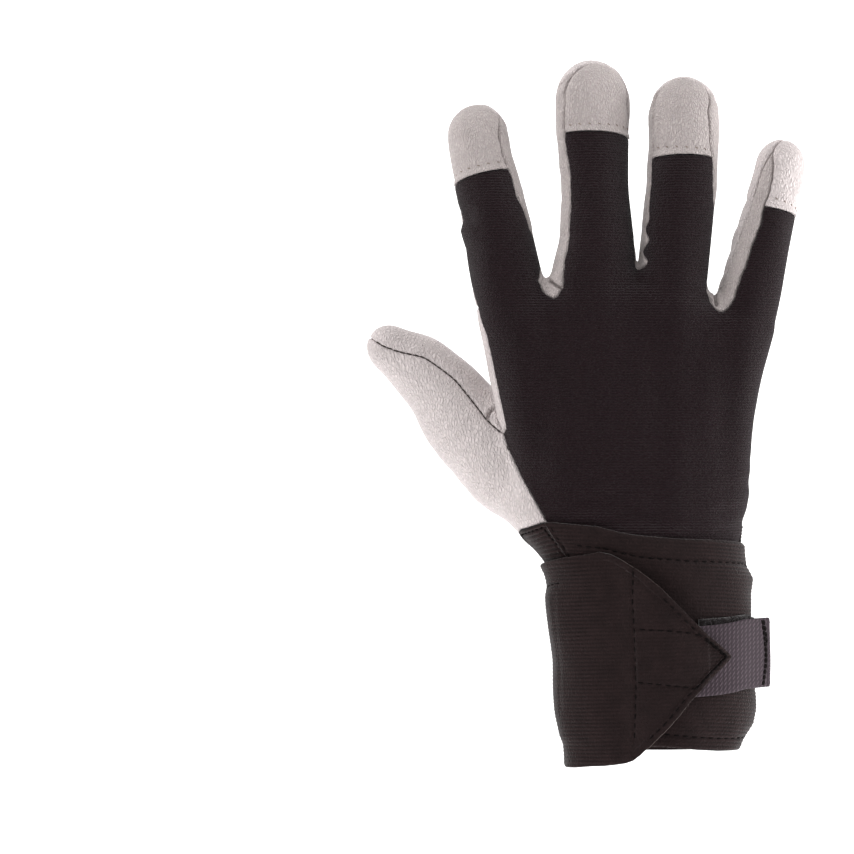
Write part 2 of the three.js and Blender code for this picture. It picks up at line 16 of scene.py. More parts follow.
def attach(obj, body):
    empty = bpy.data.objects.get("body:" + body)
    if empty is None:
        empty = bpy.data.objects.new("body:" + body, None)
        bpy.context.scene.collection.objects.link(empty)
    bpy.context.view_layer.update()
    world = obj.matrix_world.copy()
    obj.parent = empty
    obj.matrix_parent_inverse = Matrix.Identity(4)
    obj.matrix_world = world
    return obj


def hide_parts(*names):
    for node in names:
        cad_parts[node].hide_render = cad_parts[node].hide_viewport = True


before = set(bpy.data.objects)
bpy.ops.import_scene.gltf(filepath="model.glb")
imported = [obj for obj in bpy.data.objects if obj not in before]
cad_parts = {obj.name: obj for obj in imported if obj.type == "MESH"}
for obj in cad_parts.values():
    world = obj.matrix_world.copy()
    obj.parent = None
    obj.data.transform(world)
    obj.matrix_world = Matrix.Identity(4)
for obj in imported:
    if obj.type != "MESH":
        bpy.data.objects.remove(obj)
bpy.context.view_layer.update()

bl_info = {
    "name": "Anti-vibration glove",
    "version": (1, 0, 0),
    "blender": (4, 5, 0),
    "location": "View3D > Sidebar > Glove",
    "description": "Leather and knit work glove with an elastic wrist wrap",
    "category": "Add Mesh",
}

# Tables, in millimetres

# Each ray runs from inside the hand to the tip: centre x, y, z, half width, half depth, roll in degrees.
INDEX = [
    (-38, 0, 92, 7, 7, 0),
    (-46.4, -0.7, 138, 11.4, 11.4, -4),
    (-50.5, -1, 162, 13.4, 13.2, -6),
    (-55.3, 0, 181, 13.2, 12, -10),
    (-60.6, 2, 208, 12.5, 11.3, -14),
    (-64.6, 5.5, 227, 11.2, 10.4, -16),
    (-67.4, 9, 245.7, 11.4, 10.2, -16),
]
MIDDLE = [
    (-14, 0, 92, 7, 7, 0),
    (-20.6, -1.6, 140, 11.4, 11.4, 4),
    (-23.2, -2, 170, 16, 13.4, 8),
    (-23.2, -1.4, 181, 16.4, 12.8, 11),
    (-21.8, -0.6, 193, 14, 12.2, 13),
    (-22.4, 2, 214, 12.5, 11.5, 18),
    (-23.3, 6, 238, 14, 11.2, 18),
    (-22.9, 9.5, 262.5, 14.3, 10.8, 18),
]
RING = [
    (6, 0, 92, 7, 7, 0),
    (5, -1.6, 138, 11.4, 11.4, 2),
    (5.2, -2, 164, 13.4, 13.2, 3),
    (6, -1, 181, 12.8, 12.2, 4),
    (9.3, 2, 212, 12.9, 11.3, -3),
    (11, 6, 236, 12.9, 11, -7),
    (10.8, 9.5, 256.2, 12.9, 10.6, -7),
]
LITTLE = [
    (20, 0, 92, 6, 6, 0),
    (25.8, 0, 134, 9.6, 10, 12),
    (29.6, 0, 156, 11.6, 12, 22),
    (35.4, 1, 178, 11.8, 11, 36),
    (41.7, 3, 203, 10.5, 9.4, 50),
    (45.4, 5.5, 217, 10, 8.8, 55),
    (49, 8, 232.4, 9.2, 8.2, 55),
]
THUMB = [
    (-33, 6, 91, 12.4, 12, 0),
    (-44, 8, 101.5, 15.6, 14.4, 0),
    (-56, 10.5, 113, 17.6, 15, 0),
    (-62.5, 12, 120, 17, 14.6, 0),
    (-71.5, 13.5, 130, 15.8, 13.2, 0),
    (-79.5, 14, 141, 13.8, 11.8, 0),
    (-89, 13.5, 149.5, 11.6, 10, 0),
    (-98, 12.5, 155.4, 8.4, 7.6, 0),
    (-106.3, 12, 159.6, 7.2, 6.4, 0),
]
# How the fingers are sewn: length of the tip cap and how its edge slants; the shares of the half depth at which
# the seam crosses the tip and the front seam lies; where the base crease lies and how it bows and slants; and
# the side of a finger with no side strip: -1 thumb side, 1 other, 0 neither.
SEWING = {
    "index": dict(cap=28.3, cap_slant=0, tip=-0.3, front=0.47, crease=82, bow=1, slant=0, outer=-1),
    "middle": dict(cap=29.5, cap_slant=0.5, tip=-0.52, front=0.47, crease=76, bow=3, slant=0, outer=0),
    "ring": dict(cap=32, cap_slant=-0.9, tip=-0.5, front=0.47, crease=73, bow=3, slant=0, outer=0),
    "little": dict(cap=27.4, cap_slant=-1, tip=-0.1, front=0.2, crease=66, bow=0, slant=-3, outer=1),
}
FINGERS = tuple(SEWING)
# A finger's back seam lies this share of its half depth off its middle plane, and beside the cap that share.
SEAM_SHARE = 0.47
CAP_SHARE = 0.58
TAPER_FROM, TAPER_TO = 16, 5
# The thumb's upper seam by station, as a share of the half width.
THUMB_SEAM = [(40, 0.25), (48, 0.28), (58, 0.38), (68, 0.42)]

# The hand, from the hem up: height, left and right edge, back and palm side, and how square the section is.
BODY = [
    (4, -31, 29.8, -22.4, 22.4, 2.2),
    (22, -34.2, 33.4, -23.4, 23.4, 2.2),
    (40, -35.4, 34, -24, 24, 2.2),
    (58, -37.2, 33.6, -24, 24, 2.2),
    (72, -38.2, 32.6, -23.2, 23.4, 2.3),
    (79, -43.2, 30.8, -22.2, 23, 2.3),
    (84, -48, 30.8, -21.4, 22.7, 2.3),
    (89, -53, 31.5, -20.7, 22.4, 2.3),
    (93, -56.5, 33, -20.1, 22.2, 2.3),
    (98, -57, 34.4, -19.5, 22, 2.3),
    (109, -53.4, 34.8, -18.4, 21, 2.4),
    (127, -57.2, 35.4, -17, 19.5, 2.5),
    (145, -60.4, 36.8, -15.8, 17.5, 2.6),
    (160, -62.4, 39.6, -14.8, 15, 2.6),
    (170, -63.6, 41.4, -13.2, 12, 2.6),
    (175.5, -61.6, 39.4, -10, 8.6, 2.5),
    (178.5, -57, 35, -5, 4, 2.3),
]
HAND_TOP = BODY[-1][0]
# How far the hand's top lies above its usual height, by place across the hand: the crotches between the fingers.
WEBS = [(-62, -6), (-42, 0), (-24, 3.6), (-6.5, 3.2), (8, 1.2), (21.5, -5), (40, -15)]
# Where the leather and the knit end at the cuff, by place across the hand.
CUFF_TOP = {"palm": [(-46, 84.2), (-34, 89.6)], "back": [(-60, 84.2), (-52, 87.2), (-42, 91), (-35, 81)]}
CUFF_RIBS = [(-60, 84.2), (-52, 87.2), (-42, 91), (-30, 93.5)]
HEM = 9

# The height band in which the thumb's seam with the hand turns into its fork with the index finger.
THUMB_FORK = (117, 129)

# The one seam down the outer side of the index and little fingers, by height, from the finger's middle plane.
SIDE_SEAM = {
    "index": [(90, 4), (115, 2), (126, -6), (160, -7), (182, 0), (245, 1)],
    "little": [(90, 6), (125, 5), (160, 5), (182, 2), (245, 1)],
}
# How far a finger's back seam lies to the palm side of its usual place, by height: on its thumb side, then on
# its other side.
SEAM_SHIFT = {
    "index": ([(0, 0)], [(180, 0), (185, 8), (196, 8), (199, 3.4), (206, 2), (211, 0), (222, 0)]),
    "middle": ([(178, -1.5), (196, 0.3), (225, 1), (236, 1.9)],
               [(180, 0), (185, 3.6), (226, 3.6), (237, 2.6), (243, 0)]),
    "ring": ([(225, 0), (236, 0.8)],
             [(176, 0), (182, 7), (203, 7), (207, 4.5), (210, 1.8), (216, 1), (226, 0), (238, -1)]),
    "little": ([(203, 0), (216, 1.4), (226, 1.8)], [(0, 0)]),
}
# Where the thumb's leather meets the hand below the fork, by height.
THUMB_EDGE = {
    "back": [(80, -38), (91, -41), (100, -46), (108, -50.4), (119, -55.5), (124, -57), (140, -60)],
    "palm": [(80, -44), (91, -44.8), (108, -46.7), (119, -48.4), (124, -51), (140, -60)],
}

# The wrist wrap by angle: 0 the back of the hand, 90 the little finger side, 180 the palm; its two edges.
WRAP = [
    (-53, 12, 48),
    (-44.5, 11.5, 78.6),
    (-41, 11, 91.3),
    (-35, 10.8, 91.3),
    (-13.4, 10.5, 90),
    (-6, 10.4, 88.2),
    (2, 10.2, 86.6),
    (22, 9, 85.4),
    (40, 8.2, 85),
    (70, 7.6, 83.8),
    (90, 7.6, 82.2),
    (110, 7.6, 79.6),
    (135, 6.8, 77),
    (165, 5.6, 75.4),
    (190, 4.4, 74.6),
    (225, 2.6, 73.4),
    (250, 1.4, 73),
    (270, 1, 74),
    (285, 1, 75.6),
    (300, 1.6, 77),
    (315, 2.6, 78.5),
    (325, 3, 79.2),
    (334, 3.7, 80),
    (340.5, 4.4, 80.8),
    (345.4, 5.5, 80.1),
    (349, 7.3, 78.4),
    (352.3, 9.4, 76.2),
    (355.3, 11.1, 74.1),
    (358.3, 13.5, 71.5),
    (361, 15.8, 68.9),
    (365.5, 19.6, 65),
    (374.3, 27.3, 58.2),
    (384, 34.2, 51.3),
    (391, 38.4, 47.5),
    (398, 42.4, 43.5),
]
# The middle line that the wrap's ribs run along, before its end is cut to a point.
WRAP_MIDDLE = [(-53, 50.5), (40, 48), (90, 45.6), (135, 41.9), (190, 39.5), (250, 37.2), (300, 39.3), (403, 42.6)]
# Rows of stitches on the tab as side position and height, seen from the back: one up and down it, and the two
# long sides of the box that holds the strap. TAB_CREASE is a fold by the thumb side.
TAB_ROWS = [
    [(-10.4, 75), (-10.7, 63.7), (-9.9, 49.2), (-9.4, 31.2), (-9.9, 13)],
    [(-8.9, 53.2), (-0.6, 52.8), (8.5, 52.1), (14, 50.9)],
    [(-9.2, 34), (-0.6, 33.3), (6.7, 32.6), (13.2, 31.5)],
]
TAB_BOX = (-9, 17, 33.2, 52.4)
TAB_CREASE = [(-37.6, 64.4), (-36.3, 42), (-35, 22.5)]
# How the wrap sags in and out by height, at the little finger side and at the thumb side.
SAG = {
    90: [(7, -2.2), (10.4, -1.6), (12.6, -0.5), (16.6, 1.2), (22, 1.2), (27, 0.7), (31, 0), (46, 0), (57, -0.8),
         (65, -0.4), (70, 0.6), (74.5, -1), (82, -0.5)],
    287: [(2, 0.5), (9.3, 0), (12.6, 0.8), (20, 1.1), (29.8, 0.8), (39.7, 0), (46, 0.4), (52, 0.9), (59.6, 1.2),
          (63.5, 1.1), (67.3, 0), (78, 0.3)],
}
# Between layers, between cuff and hand, and the elastic's thickness; then the other walls, without their relief.
LAYER_GAP, CUFF_GAP, ELASTIC = 0.35, 0.7, 1.6
THIN_WALL, FRONT_WALL, PALM_WALL = 1.1, 1.6, 2.6
# Rows of stitches: distance apart, length and radius of the thread.
STITCHES = {
    "thumb": (2.5, 2.1, 0.24),
    "cuff": (2.1, 1.2, 0.4),
    "wrap": (3.3, 2.2, 0.25),
    "tab_tip": (2.1, 2.4, 0.42),
    # The strap's thread is thick partly to stand for the shadow of a fold beside its stitches, as painted shade.
    "strap": (1.9, 2.3, 0.45),
}
STRAP = dict(width=25.4, thick=1.2, start=8, end=54, z=41.2, rise=2.2, tongue=13.4)
PATCH = dict(half=[(22, 13), (60, 13), (76, 11.8)], thick=1.4,
             middle=[(22, 43.4), (60, 44.6), (80, 43.4), (110, 41), (158, 34)])

GRID_LOW = np.array([-112.0, -30.0, 5.0])
GRID_HIGH = np.array([56.0, 34.0, 270.0])
RENDER_WIDTH_M = 0.316  # how much of the glove's plane the camera sees


# Numbers

def smoothstep(x, low, high):
    t = np.clip((x - low) / (high - low), 0, 1)
    return t * t * (3 - 2 * t)


def lerp(a, b, t):
    return a + (b - a) * t


def along(table, x):
    """The value at x of a table of (x, value) rows."""
    return np.interp(x, [row[0] for row in table], [row[1] for row in table])


def unit(v):
    return v / np.maximum(np.linalg.norm(v, axis=-1, keepdims=True), 1e-9)


def dot(a, b):
    return np.einsum("ij,ij->i", a, b)


def soften(values, spread):
    """Columns of evenly spaced values, each averaged with its neighbours."""
    reach = int(3 * spread)
    weight = np.exp(-0.5 * (np.arange(-reach, reach + 1) / spread) ** 2)
    weight /= weight.sum()
    ends = [values[:1]] * reach, [values[-1:]] * reach
    slope = values[1] - values[0], values[-1] - values[-2]
    before = np.concatenate([e + slope[0] * (i - reach) for i, e in enumerate(ends[0])])
    after = np.concatenate([e + slope[1] * (i + 1) for i, e in enumerate(ends[1])])
    padded = np.concatenate([before, values, after])
    return np.stack([np.convolve(padded[:, k], weight, "valid") for k in range(values.shape[1])], axis=1)


def ripple(p, scale, seed):
    """Smooth noise from about -1 to 1 with features of about that size."""
    rng = np.random.default_rng(seed)
    total = np.zeros(len(p))
    for _ in range(9):
        way = rng.normal(size=3)
        way *= 2 * math.pi / (scale * rng.uniform(0.8, 1.7)) / np.linalg.norm(way)
        total += np.sin(p @ way + rng.uniform(0, 2 * math.pi))
    return total / 3


def smooth_least(a, b, reach):
    """The lesser of two distances, blended where they are close."""
    h = np.maximum(reach - np.abs(a - b), 0) / reach
    return np.minimum(a, b) - h * h * reach / 4


# The form of the hand

class Ray:
    """A finger or the thumb: a tube of elliptical section with a round tip."""

    def __init__(self, rows):
        rows = np.array(rows, float)
        points = rows[:, :3]
        run = np.r_[0, np.cumsum(np.linalg.norm(np.diff(points, axis=0), axis=1))]
        self.length = run[-1]
        self.round = rows[-1, 3] * 1.15
        s = np.arange(-30, self.length + 30.5, 0.5)
        columns = np.stack([np.interp(s, run, rows[:, k]) for k in range(6)], axis=1)
        first, last = unit(points[1] - points[0]), unit(points[-1] - points[-2])
        columns[s < 0, :3] = points[0] + s[s < 0, None] * first
        past = s > self.length
        columns[past, :3] = points[-1] + (s[past, None] - self.length) * last
        columns = soften(columns, 7)
        centre, wide, deep, roll = columns[:, :3], columns[:, 3], columns[:, 4], np.radians(columns[:, 5])
        d = unit(np.gradient(centre, axis=0))
        u = unit(np.array([1.0, 0, 0]) - d[:, :1] * d)
        v = np.cross(d, u)
        u = u * np.cos(roll)[:, None] + v * np.sin(roll)[:, None]
        v = np.cross(d, u)
        self.way = unit(points[-1] - points[0])
        t = centre @ self.way
        self.start, self.step = t[0], 0.5
        even = np.arange(t[0], t[-1], self.step)
        table = np.column_stack([centre, d, u, v, wide, deep, s])
        self.table = np.stack([np.interp(even, t, table[:, k]) for k in range(table.shape[1])], axis=1)

    def look(self, t, columns):
        place = np.clip((t - self.start) / self.step, 0, len(self.table) - 1.001)
        i = place.astype(int)
        part = (place - i)[:, None]
        return self.table[i, columns] * (1 - part) + self.table[i + 1, columns] * part

    def local(self, p):
        """Where points lie on the ray: station, sideways and depth place, half sizes and distance outside."""
        t = p @ self.way
        for _ in range(2):
            near = self.look(t, slice(0, 6))
            d = near[:, 3:]
            t = t + dot(p - near[:, :3], d) * (d @ self.way)
        row = self.look(t, slice(0, 15))
        off = p - row[:, :3]
        s = row[:, 14] + dot(off, row[:, 3:6])
        u, v, wide, deep = dot(off, row[:, 6:9]), dot(off, row[:, 9:12]), row[:, 12], row[:, 13]
        tip = np.maximum(s - self.length + self.round, 0) / self.round
        root = np.maximum(24 - s, 0) / 18
        rho = np.sqrt((u / wide) ** 2 + (v / deep) ** 2 + tip**2.2 + root**2) + 1e-6
        slope = np.sqrt(
            (u / wide**2) ** 2 + (v / deep**2) ** 2 + (1.1 * tip**1.2 / self.round) ** 2 + (root / 18) ** 2
        )
        outside = (rho - 1) * rho / np.maximum(slope, 0.02)
        return dict(s=s, u=u, v=v, wide=wide, deep=deep, outside=outside)

    def point(self, s, angle):
        """Points on the tube, and the outward direction, at stations and angles from the sideways axis."""
        t = np.interp(s, self.table[:, 14], self.start + self.step * np.arange(len(self.table)))
        row = self.look(np.atleast_1d(t), slice(0, 15))
        way = row[:, 6:9] * (row[:, 12] * np.cos(angle))[:, None] + row[:, 9:12] * (row[:, 13] * np.sin(angle))[:, None]
        return row[:, :3] + way, unit(way)


RAYS = {name: Ray(rows) for name, rows in zip(FINGERS, (INDEX, MIDDLE, RING, LITTLE))}
THUMB_RAY = Ray(THUMB)
HEIGHTS = np.arange(-40.0, 215.0, 1.0)
SECTIONS = soften(
    np.stack([np.interp(HEIGHTS, [r[0] for r in BODY], [r[k] for r in BODY]) for k in range(1, 6)], axis=1), 2.2
)


def section(z):
    place = np.clip(z - HEIGHTS[0], 0, len(HEIGHTS) - 1.001)
    i = place.astype(int)
    part = (place - i)[:, None]
    return (SECTIONS[i] * (1 - part) + SECTIONS[i + 1] * part).T


def hand_distance(p):
    """Distance outside the hand without its fingers."""
    z = p[:, 2] - along(WEBS, p[:, 0]) * smoothstep(p[:, 2], 145, HAND_TOP)
    left, right, back, front, square = section(np.minimum(z, 176))
    across = np.abs(p[:, 0] - (left + right) / 2) / ((right - left) / 2) + 1e-4
    depth = np.abs(p[:, 1] - (front + back) / 2) / ((front - back) / 2) + 1e-4
    rho = (across**square + depth**square) ** (1 / square)
    slope = rho ** (1 - square) * np.hypot(
        across ** (square - 1) * 2 / (right - left), depth ** (square - 1) * 2 / (front - back)
    )
    side = (rho - 1) / np.maximum(slope, 0.015)
    return -smooth_least(-side, HAND_TOP - z, 5)


def form_distance(p):
    """Distance outside the whole form: hand, fingers and thumb, blended into one another."""
    fingers = RAYS["index"].local(p)["outside"]
    for name in FINGERS[1:]:
        fingers = smooth_least(fingers, RAYS[name].local(p)["outside"], 2.5)
    hand = smooth_least(hand_distance(p), fingers, 5)
    return smooth_least(hand, THUMB_RAY.local(p)["outside"], 5)


def seam_wander(name, across, z):
    """How the knit's edge waves along a finger where the sewing gathers it."""
    turn = 1.7 * FINGERS.index(name)
    small = 0.14 * np.sin(0.47 * z + turn) + 0.1 * np.sin(1.13 * z + 2 * turn)
    if name != "ring":
        return small
    gathers = 1.4 * np.cos(2 * math.pi * (z - 195) / 8.6) * smoothstep(z, 174, 180) * smoothstep(-z, -206, -196)
    return small - gathers * smoothstep(-across, 0.2, 0.7)


def thumb_seam(s):
    """Where the thumb's upper seam lies at stations along it."""
    return along(THUMB_SEAM, s) * smoothstep(THUMB_RAY.length - s, 4, 22)


def seams(p):
    """How far past each seam line points lie, positive on the side that the seam is named for."""
    near = {name: ray.local(p) for name, ray in RAYS.items()}
    least = np.min([n["outside"] for n in near.values()], axis=0)
    total = dict(back=0, front=0, crease=0, cap=0)
    weight = 0
    for name, n in near.items():
        sewn, ray = SEWING[name], RAYS[name]
        share = np.exp(-(n["outside"] - least) / 2)
        narrow = smoothstep(ray.length - n["s"], TAPER_TO, TAPER_FROM)
        tip = sewn["tip"] * n["deep"]
        if sewn["outer"]:
            inner = smoothstep(-sewn["outer"] * n["u"], -n["wide"] / 2, n["wide"] / 2)
            single = lerp(tip, along(SIDE_SEAM[name], p[:, 2]), narrow)
        else:
            inner, single = 1, tip
        across = n["u"] / n["wide"]
        shifts = [along(rows, p[:, 2]) for rows in SEAM_SHIFT[name]]
        shift = lerp(*shifts, smoothstep(across, -0.6, 0.6)) + seam_wander(name, across, p[:, 2])
        beside_cap = lerp(SEAM_SHARE, CAP_SHARE, smoothstep(n["s"] - ray.length + sewn["cap"], -4, 8))
        back_line = lerp(single, lerp(tip, shift - beside_cap * n["deep"], narrow), inner)
        front_line = lerp(single, lerp(tip, sewn["front"] * n["deep"], narrow), inner)
        weight = weight + share
        total["back"] += share * (back_line - n["v"])
        total["front"] += share * (n["v"] - front_line)
        total["crease"] += share * (n["s"] - sewn["crease"] - sewn["bow"] * across**2 - sewn["slant"] * across)
        total["cap"] += share * (n["s"] - ray.length + sewn["cap"] + sewn["cap_slant"] * across)
    fields = {key: value / weight for key, value in total.items()}
    x, y, z = p.T
    thumb = THUMB_RAY.local(p)
    palm_side = smoothstep(y, -6, 2)
    line = lerp(along(THUMB_EDGE["back"], z), along(THUMB_EDGE["palm"], z), palm_side) - x
    fork = np.minimum(hand_distance(p), least) - thumb["outside"]
    cuff_top = lerp(along(CUFF_TOP["back"], x), along(CUFF_TOP["palm"], x), palm_side)
    fields.update(
        thumb=lerp(line, fork, smoothstep(z, *THUMB_FORK)),
        gusset=thumb["u"] - thumb_seam(thumb["s"]) * thumb["wide"],
        hand=z - cuff_top,
        cuff_rib=lerp(along(CUFF_RIBS, x), along(CUFF_TOP["palm"], x), palm_side) - z,
        hem=z - HEM,
        thumb_s=thumb["s"],
        thumb_v=thumb["v"] / thumb["deep"],
    )
    for name, n in near.items():
        fields["near_" + name] = n["outside"]
        fields["side_" + name] = n["u"]
        fields["s_" + name] = n["s"]
    return fields


def form_slope(p, reach=0.25):
    """The distance outside the form and its outward direction, from four points round each point."""
    ways = np.array([(1, 1, 1), (1, -1, -1), (-1, 1, -1), (-1, -1, 1)]) * reach
    values = [form_distance(p + way) for way in ways]
    slope = sum(value[:, None] * way for value, way in zip(values, ways)) / (4 * reach * reach)
    return sum(values) / 4, slope


def onto_form(p, times=1):
    """Points moved onto the form's surface, and the outward direction there."""
    for _ in range(times):
        value, slope = form_slope(p)
        p = p - slope * (value / np.maximum(dot(slope, slope), 0.05))[:, None]
    return p, unit(form_slope(p)[1])


def by_blocks(function, p, size=150000):
    return np.concatenate([function(p[i : i + size]) for i in range(0, len(p), size)])


def sampled_field(pitch):
    """The distance field on a grid, worked out closely only near the surface."""
    steps = np.ceil((GRID_HIGH - GRID_LOW) / pitch / 4).astype(int) * 4
    coarse_axes = [low + 4 * pitch * np.arange(n // 4 + 1) for low, n in zip(GRID_LOW, steps)]
    coarse = np.stack(np.meshgrid(*coarse_axes, indexing="ij"), axis=-1)
    rough = by_blocks(form_distance, coarse.reshape(-1, 3)).reshape(coarse.shape[:3])
    axes = [low + pitch * np.arange(n + 1) for low, n in zip(GRID_LOW, steps)]
    nearest = [np.minimum((np.arange(n + 1) + 2) // 4, n // 4) for n in steps]
    values = rough[np.ix_(*nearest)]
    close = np.argwhere(np.abs(values) < 5.5 * pitch)
    p = np.stack([axis[close[:, k]] for k, axis in enumerate(axes)], axis=1)
    values[tuple(close.T)] = by_blocks(form_distance, p)
    return values


def surface_net(values, low, pitch):
    """Corner points and faces of the surface where a sampled field is zero."""
    shape = np.array(values.shape)
    cells = shape - 1
    strides = np.array([cells[1] * cells[2], cells[2], 1])
    sums, counts, quads = np.zeros((cells.prod(), 3)), np.zeros(cells.prod()), []
    for axis in range(3):
        b, c = [(1, 2), (2, 0), (0, 1)][axis]
        lower, upper = [slice(None)] * 3, [slice(None)] * 3
        lower[axis], upper[axis] = slice(0, -1), slice(1, None)
        first, second = values[tuple(lower)], values[tuple(upper)]
        crossed = np.argwhere((first < 0) != (second < 0))
        inner = np.all([(crossed[:, k] > 0) & (crossed[:, k] < shape[k] - 1) for k in (b, c)], axis=0)
        crossed = crossed[inner]
        one, two = first[tuple(crossed.T)], second[tuple(crossed.T)]
        place = crossed.astype(float)
        place[:, axis] += one / (one - two)
        corners = []
        for step_b, step_c in ((0, 0), (-1, 0), (-1, -1), (0, -1)):
            cell = crossed.copy()
            cell[:, b] += step_b
            cell[:, c] += step_c
            index = cell @ strides
            corners.append(index)
            counts += np.bincount(index, minlength=len(counts))
            for k in range(3):
                sums[:, k] += np.bincount(index, place[:, k], minlength=len(counts))
        quad = np.stack(corners, axis=1)
        quad[one > 0] = quad[one > 0][:, ::-1]
        quads.append(quad)
    quads = np.concatenate(quads)
    used = np.flatnonzero(counts)
    number = np.full(len(counts), -1)
    number[used] = np.arange(len(used))
    return low + pitch * sums[used] / counts[used, None], number[quads]


def triangles(points, quads):
    """Each quad cut along its shorter diagonal."""
    a, b, c, d = (points[quads[:, k]] for k in range(4))
    short = np.linalg.norm(a - c, axis=1) < np.linalg.norm(b - d, axis=1)
    one = np.where(short[:, None], quads[:, [0, 1, 2]], quads[:, [0, 1, 3]])
    two = np.where(short[:, None], quads[:, [0, 2, 3]], quads[:, [1, 2, 3]])
    return np.concatenate([one, two])


# Open patches of triangles

def compact(points, faces):
    used, faces = np.unique(faces, return_inverse=True)
    return points[used], faces.reshape(-1, 3)


def edge_list(faces):
    """Each edge once, and for each face the numbers of the edges that start at its corners."""
    pairs = np.stack([faces, np.roll(faces, -1, axis=1)], axis=-1).reshape(-1, 2)
    edges, number = np.unique(np.sort(pairs, axis=1), axis=0, return_inverse=True)
    return edges, number.reshape(-1, 3)


def divide(faces, number, new):
    """Faces with some of their edges divided: new holds each edge's new corner, or -1."""
    middle = new[number]
    cuts = (middle >= 0).sum(axis=1)
    out = [faces[cuts == 0]]
    for count in (1, 2, 3):
        some = cuts == count
        face, mid = faces[some], middle[some]
        if not len(face):
            continue
        marked = mid >= 0
        turn = np.argmax(marked if count == 1 else ~marked, axis=1) if count < 3 else np.zeros(len(face), int)
        order = (turn[:, None] + np.arange(3)) % 3
        face = np.take_along_axis(face, order, axis=1)
        mid = np.take_along_axis(mid, order, axis=1)
        (a, b, c), (ab, bc, ca) = face.T, mid.T
        if count == 1:
            out += [np.stack(f, axis=1) for f in ((a, ab, c), (ab, b, c))]
        elif count == 2:
            out += [np.stack(f, axis=1) for f in ((a, b, bc), (a, bc, ca), (ca, bc, c))]
        else:
            out += [np.stack(f, axis=1) for f in ((a, ab, ca), (ab, b, bc), (ca, bc, c), (ab, bc, ca))]
    return np.concatenate(out)


def split(patch, rule, snap=0.12):
    """A patch cut where the rule is zero: the part above and the part below."""
    points, faces = patch
    value = rule(seams(points))
    edges, number = edge_list(faces)
    a, b = edges.T
    across = np.flatnonzero(value[a] * value[b] < 0)
    t = value[a[across]] / (value[a[across]] - value[b[across]])
    value[a[across[t < snap]]] = 0
    value[b[across[t > 1 - snap]]] = 0
    across = np.flatnonzero(value[a] * value[b] < 0)
    t = value[a[across]] / (value[a[across]] - value[b[across]])
    new = np.full(len(edges), -1)
    new[across] = len(points) + np.arange(len(across))
    made = lerp(points[a[across]], points[b[across]], t[:, None])
    points = np.concatenate([points, made])
    faces = divide(faces, number, new)
    value = np.concatenate([value, np.zeros(len(made))])
    total = value[faces].sum(axis=1)
    flat = np.all(value[faces] == 0, axis=1)
    if flat.any():
        total[flat] = rule(seams(points[faces[flat]].mean(axis=1)))
    return compact(points, faces[total > 0]), compact(points, faces[total <= 0])


def largest(patch):
    """The largest connected stretch of a patch."""
    points, faces = patch
    label = np.arange(len(points))
    while True:
        least = label[faces].min(axis=1)
        new = label.copy()
        for k in range(3):
            np.minimum.at(new, faces[:, k], least)
        new = new[new]
        if np.array_equal(new, label):
            break
        label = new
    kinds, counts = np.unique(label[faces[:, 0]], return_counts=True)
    return compact(points, faces[label[faces[:, 0]] == kinds[np.argmax(counts)]])


def open_edges(faces):
    """The directed edges that only one face has."""
    pairs = np.stack([faces, np.roll(faces, -1, axis=1)], axis=-1).reshape(-1, 2)
    keys = pairs[:, 0].astype(np.int64) * (faces.max() + 1) + pairs[:, 1]
    back = pairs[:, 1].astype(np.int64) * (faces.max() + 1) + pairs[:, 0]
    return pairs[~np.isin(back, keys)]


def edge_distance(points, faces):
    """How far each corner lies from the patch's edge."""
    rim = open_edges(faces)
    a, b = points[rim[:, 0]], points[rim[:, 1]]
    samples = np.concatenate([lerp(a, b, t) for t in (0, 0.25, 0.5, 0.75)])
    tree = kdtree.KDTree(len(samples))
    for i, sample in enumerate(samples.tolist()):
        tree.insert(sample, i)
    tree.balance()
    return np.array([tree.find(p)[2] for p in points.tolist()])


def refine(patch, reach, longest, gap_of=edge_distance):
    """Divides the long edges that lie within reach of the patch's edge."""
    points, faces = patch
    gap = gap_of(points, faces)
    edges, number = edge_list(faces)
    a, b = edges.T
    long = np.linalg.norm(points[a] - points[b], axis=1) > longest
    chosen = np.flatnonzero(long & (np.minimum(gap[a], gap[b]) < reach))
    new = np.full(len(edges), -1)
    new[chosen] = len(points) + np.arange(len(chosen))
    made = (points[a[chosen]] + points[b[chosen]]) / 2
    return np.concatenate([points, made]), divide(faces, number, new)


# Blender objects and materials

def srgb(value):
    """A hex colour as linear red, green, blue and alpha."""
    parts = [int(value[i : i + 2], 16) / 255 for i in (1, 3, 5)]
    return [c / 12.92 if c <= 0.04045 else ((c + 0.055) / 1.055) ** 2.4 for c in parts] + [1]


def add_mesh(name, points_mm, faces, material, slot, *nodes):
    """A piece from points in millimetres and faces, riding on the glove and standing for the named nodes."""
    mesh = bpy.data.meshes.new(name)
    mesh.from_pydata((np.asarray(points_mm) * 0.001).tolist(), [], [list(f) for f in faces])
    mesh.polygons.foreach_set("use_smooth", [True] * len(mesh.polygons))
    mesh.materials.append(material)
    mesh.update()
    piece = bpy.data.objects.new(name, mesh)
    bpy.context.collection.objects.link(piece)
    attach(piece, "root")
    if nodes:
        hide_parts(*nodes)
    return piece


def node(material, kind, settings=None, links=None):
    """Adds a shader node, sets its attributes and inputs, and links outputs into its inputs."""
    made = material.node_tree.nodes.new(kind)
    for key, value in (settings or {}).items():
        if isinstance(key, str) and hasattr(made, key):
            setattr(made, key, value)
        else:
            made.inputs[key].default_value = value
    for key, source in (links or {}).items():
        material.node_tree.links.new(source, made.inputs[key])
    return made


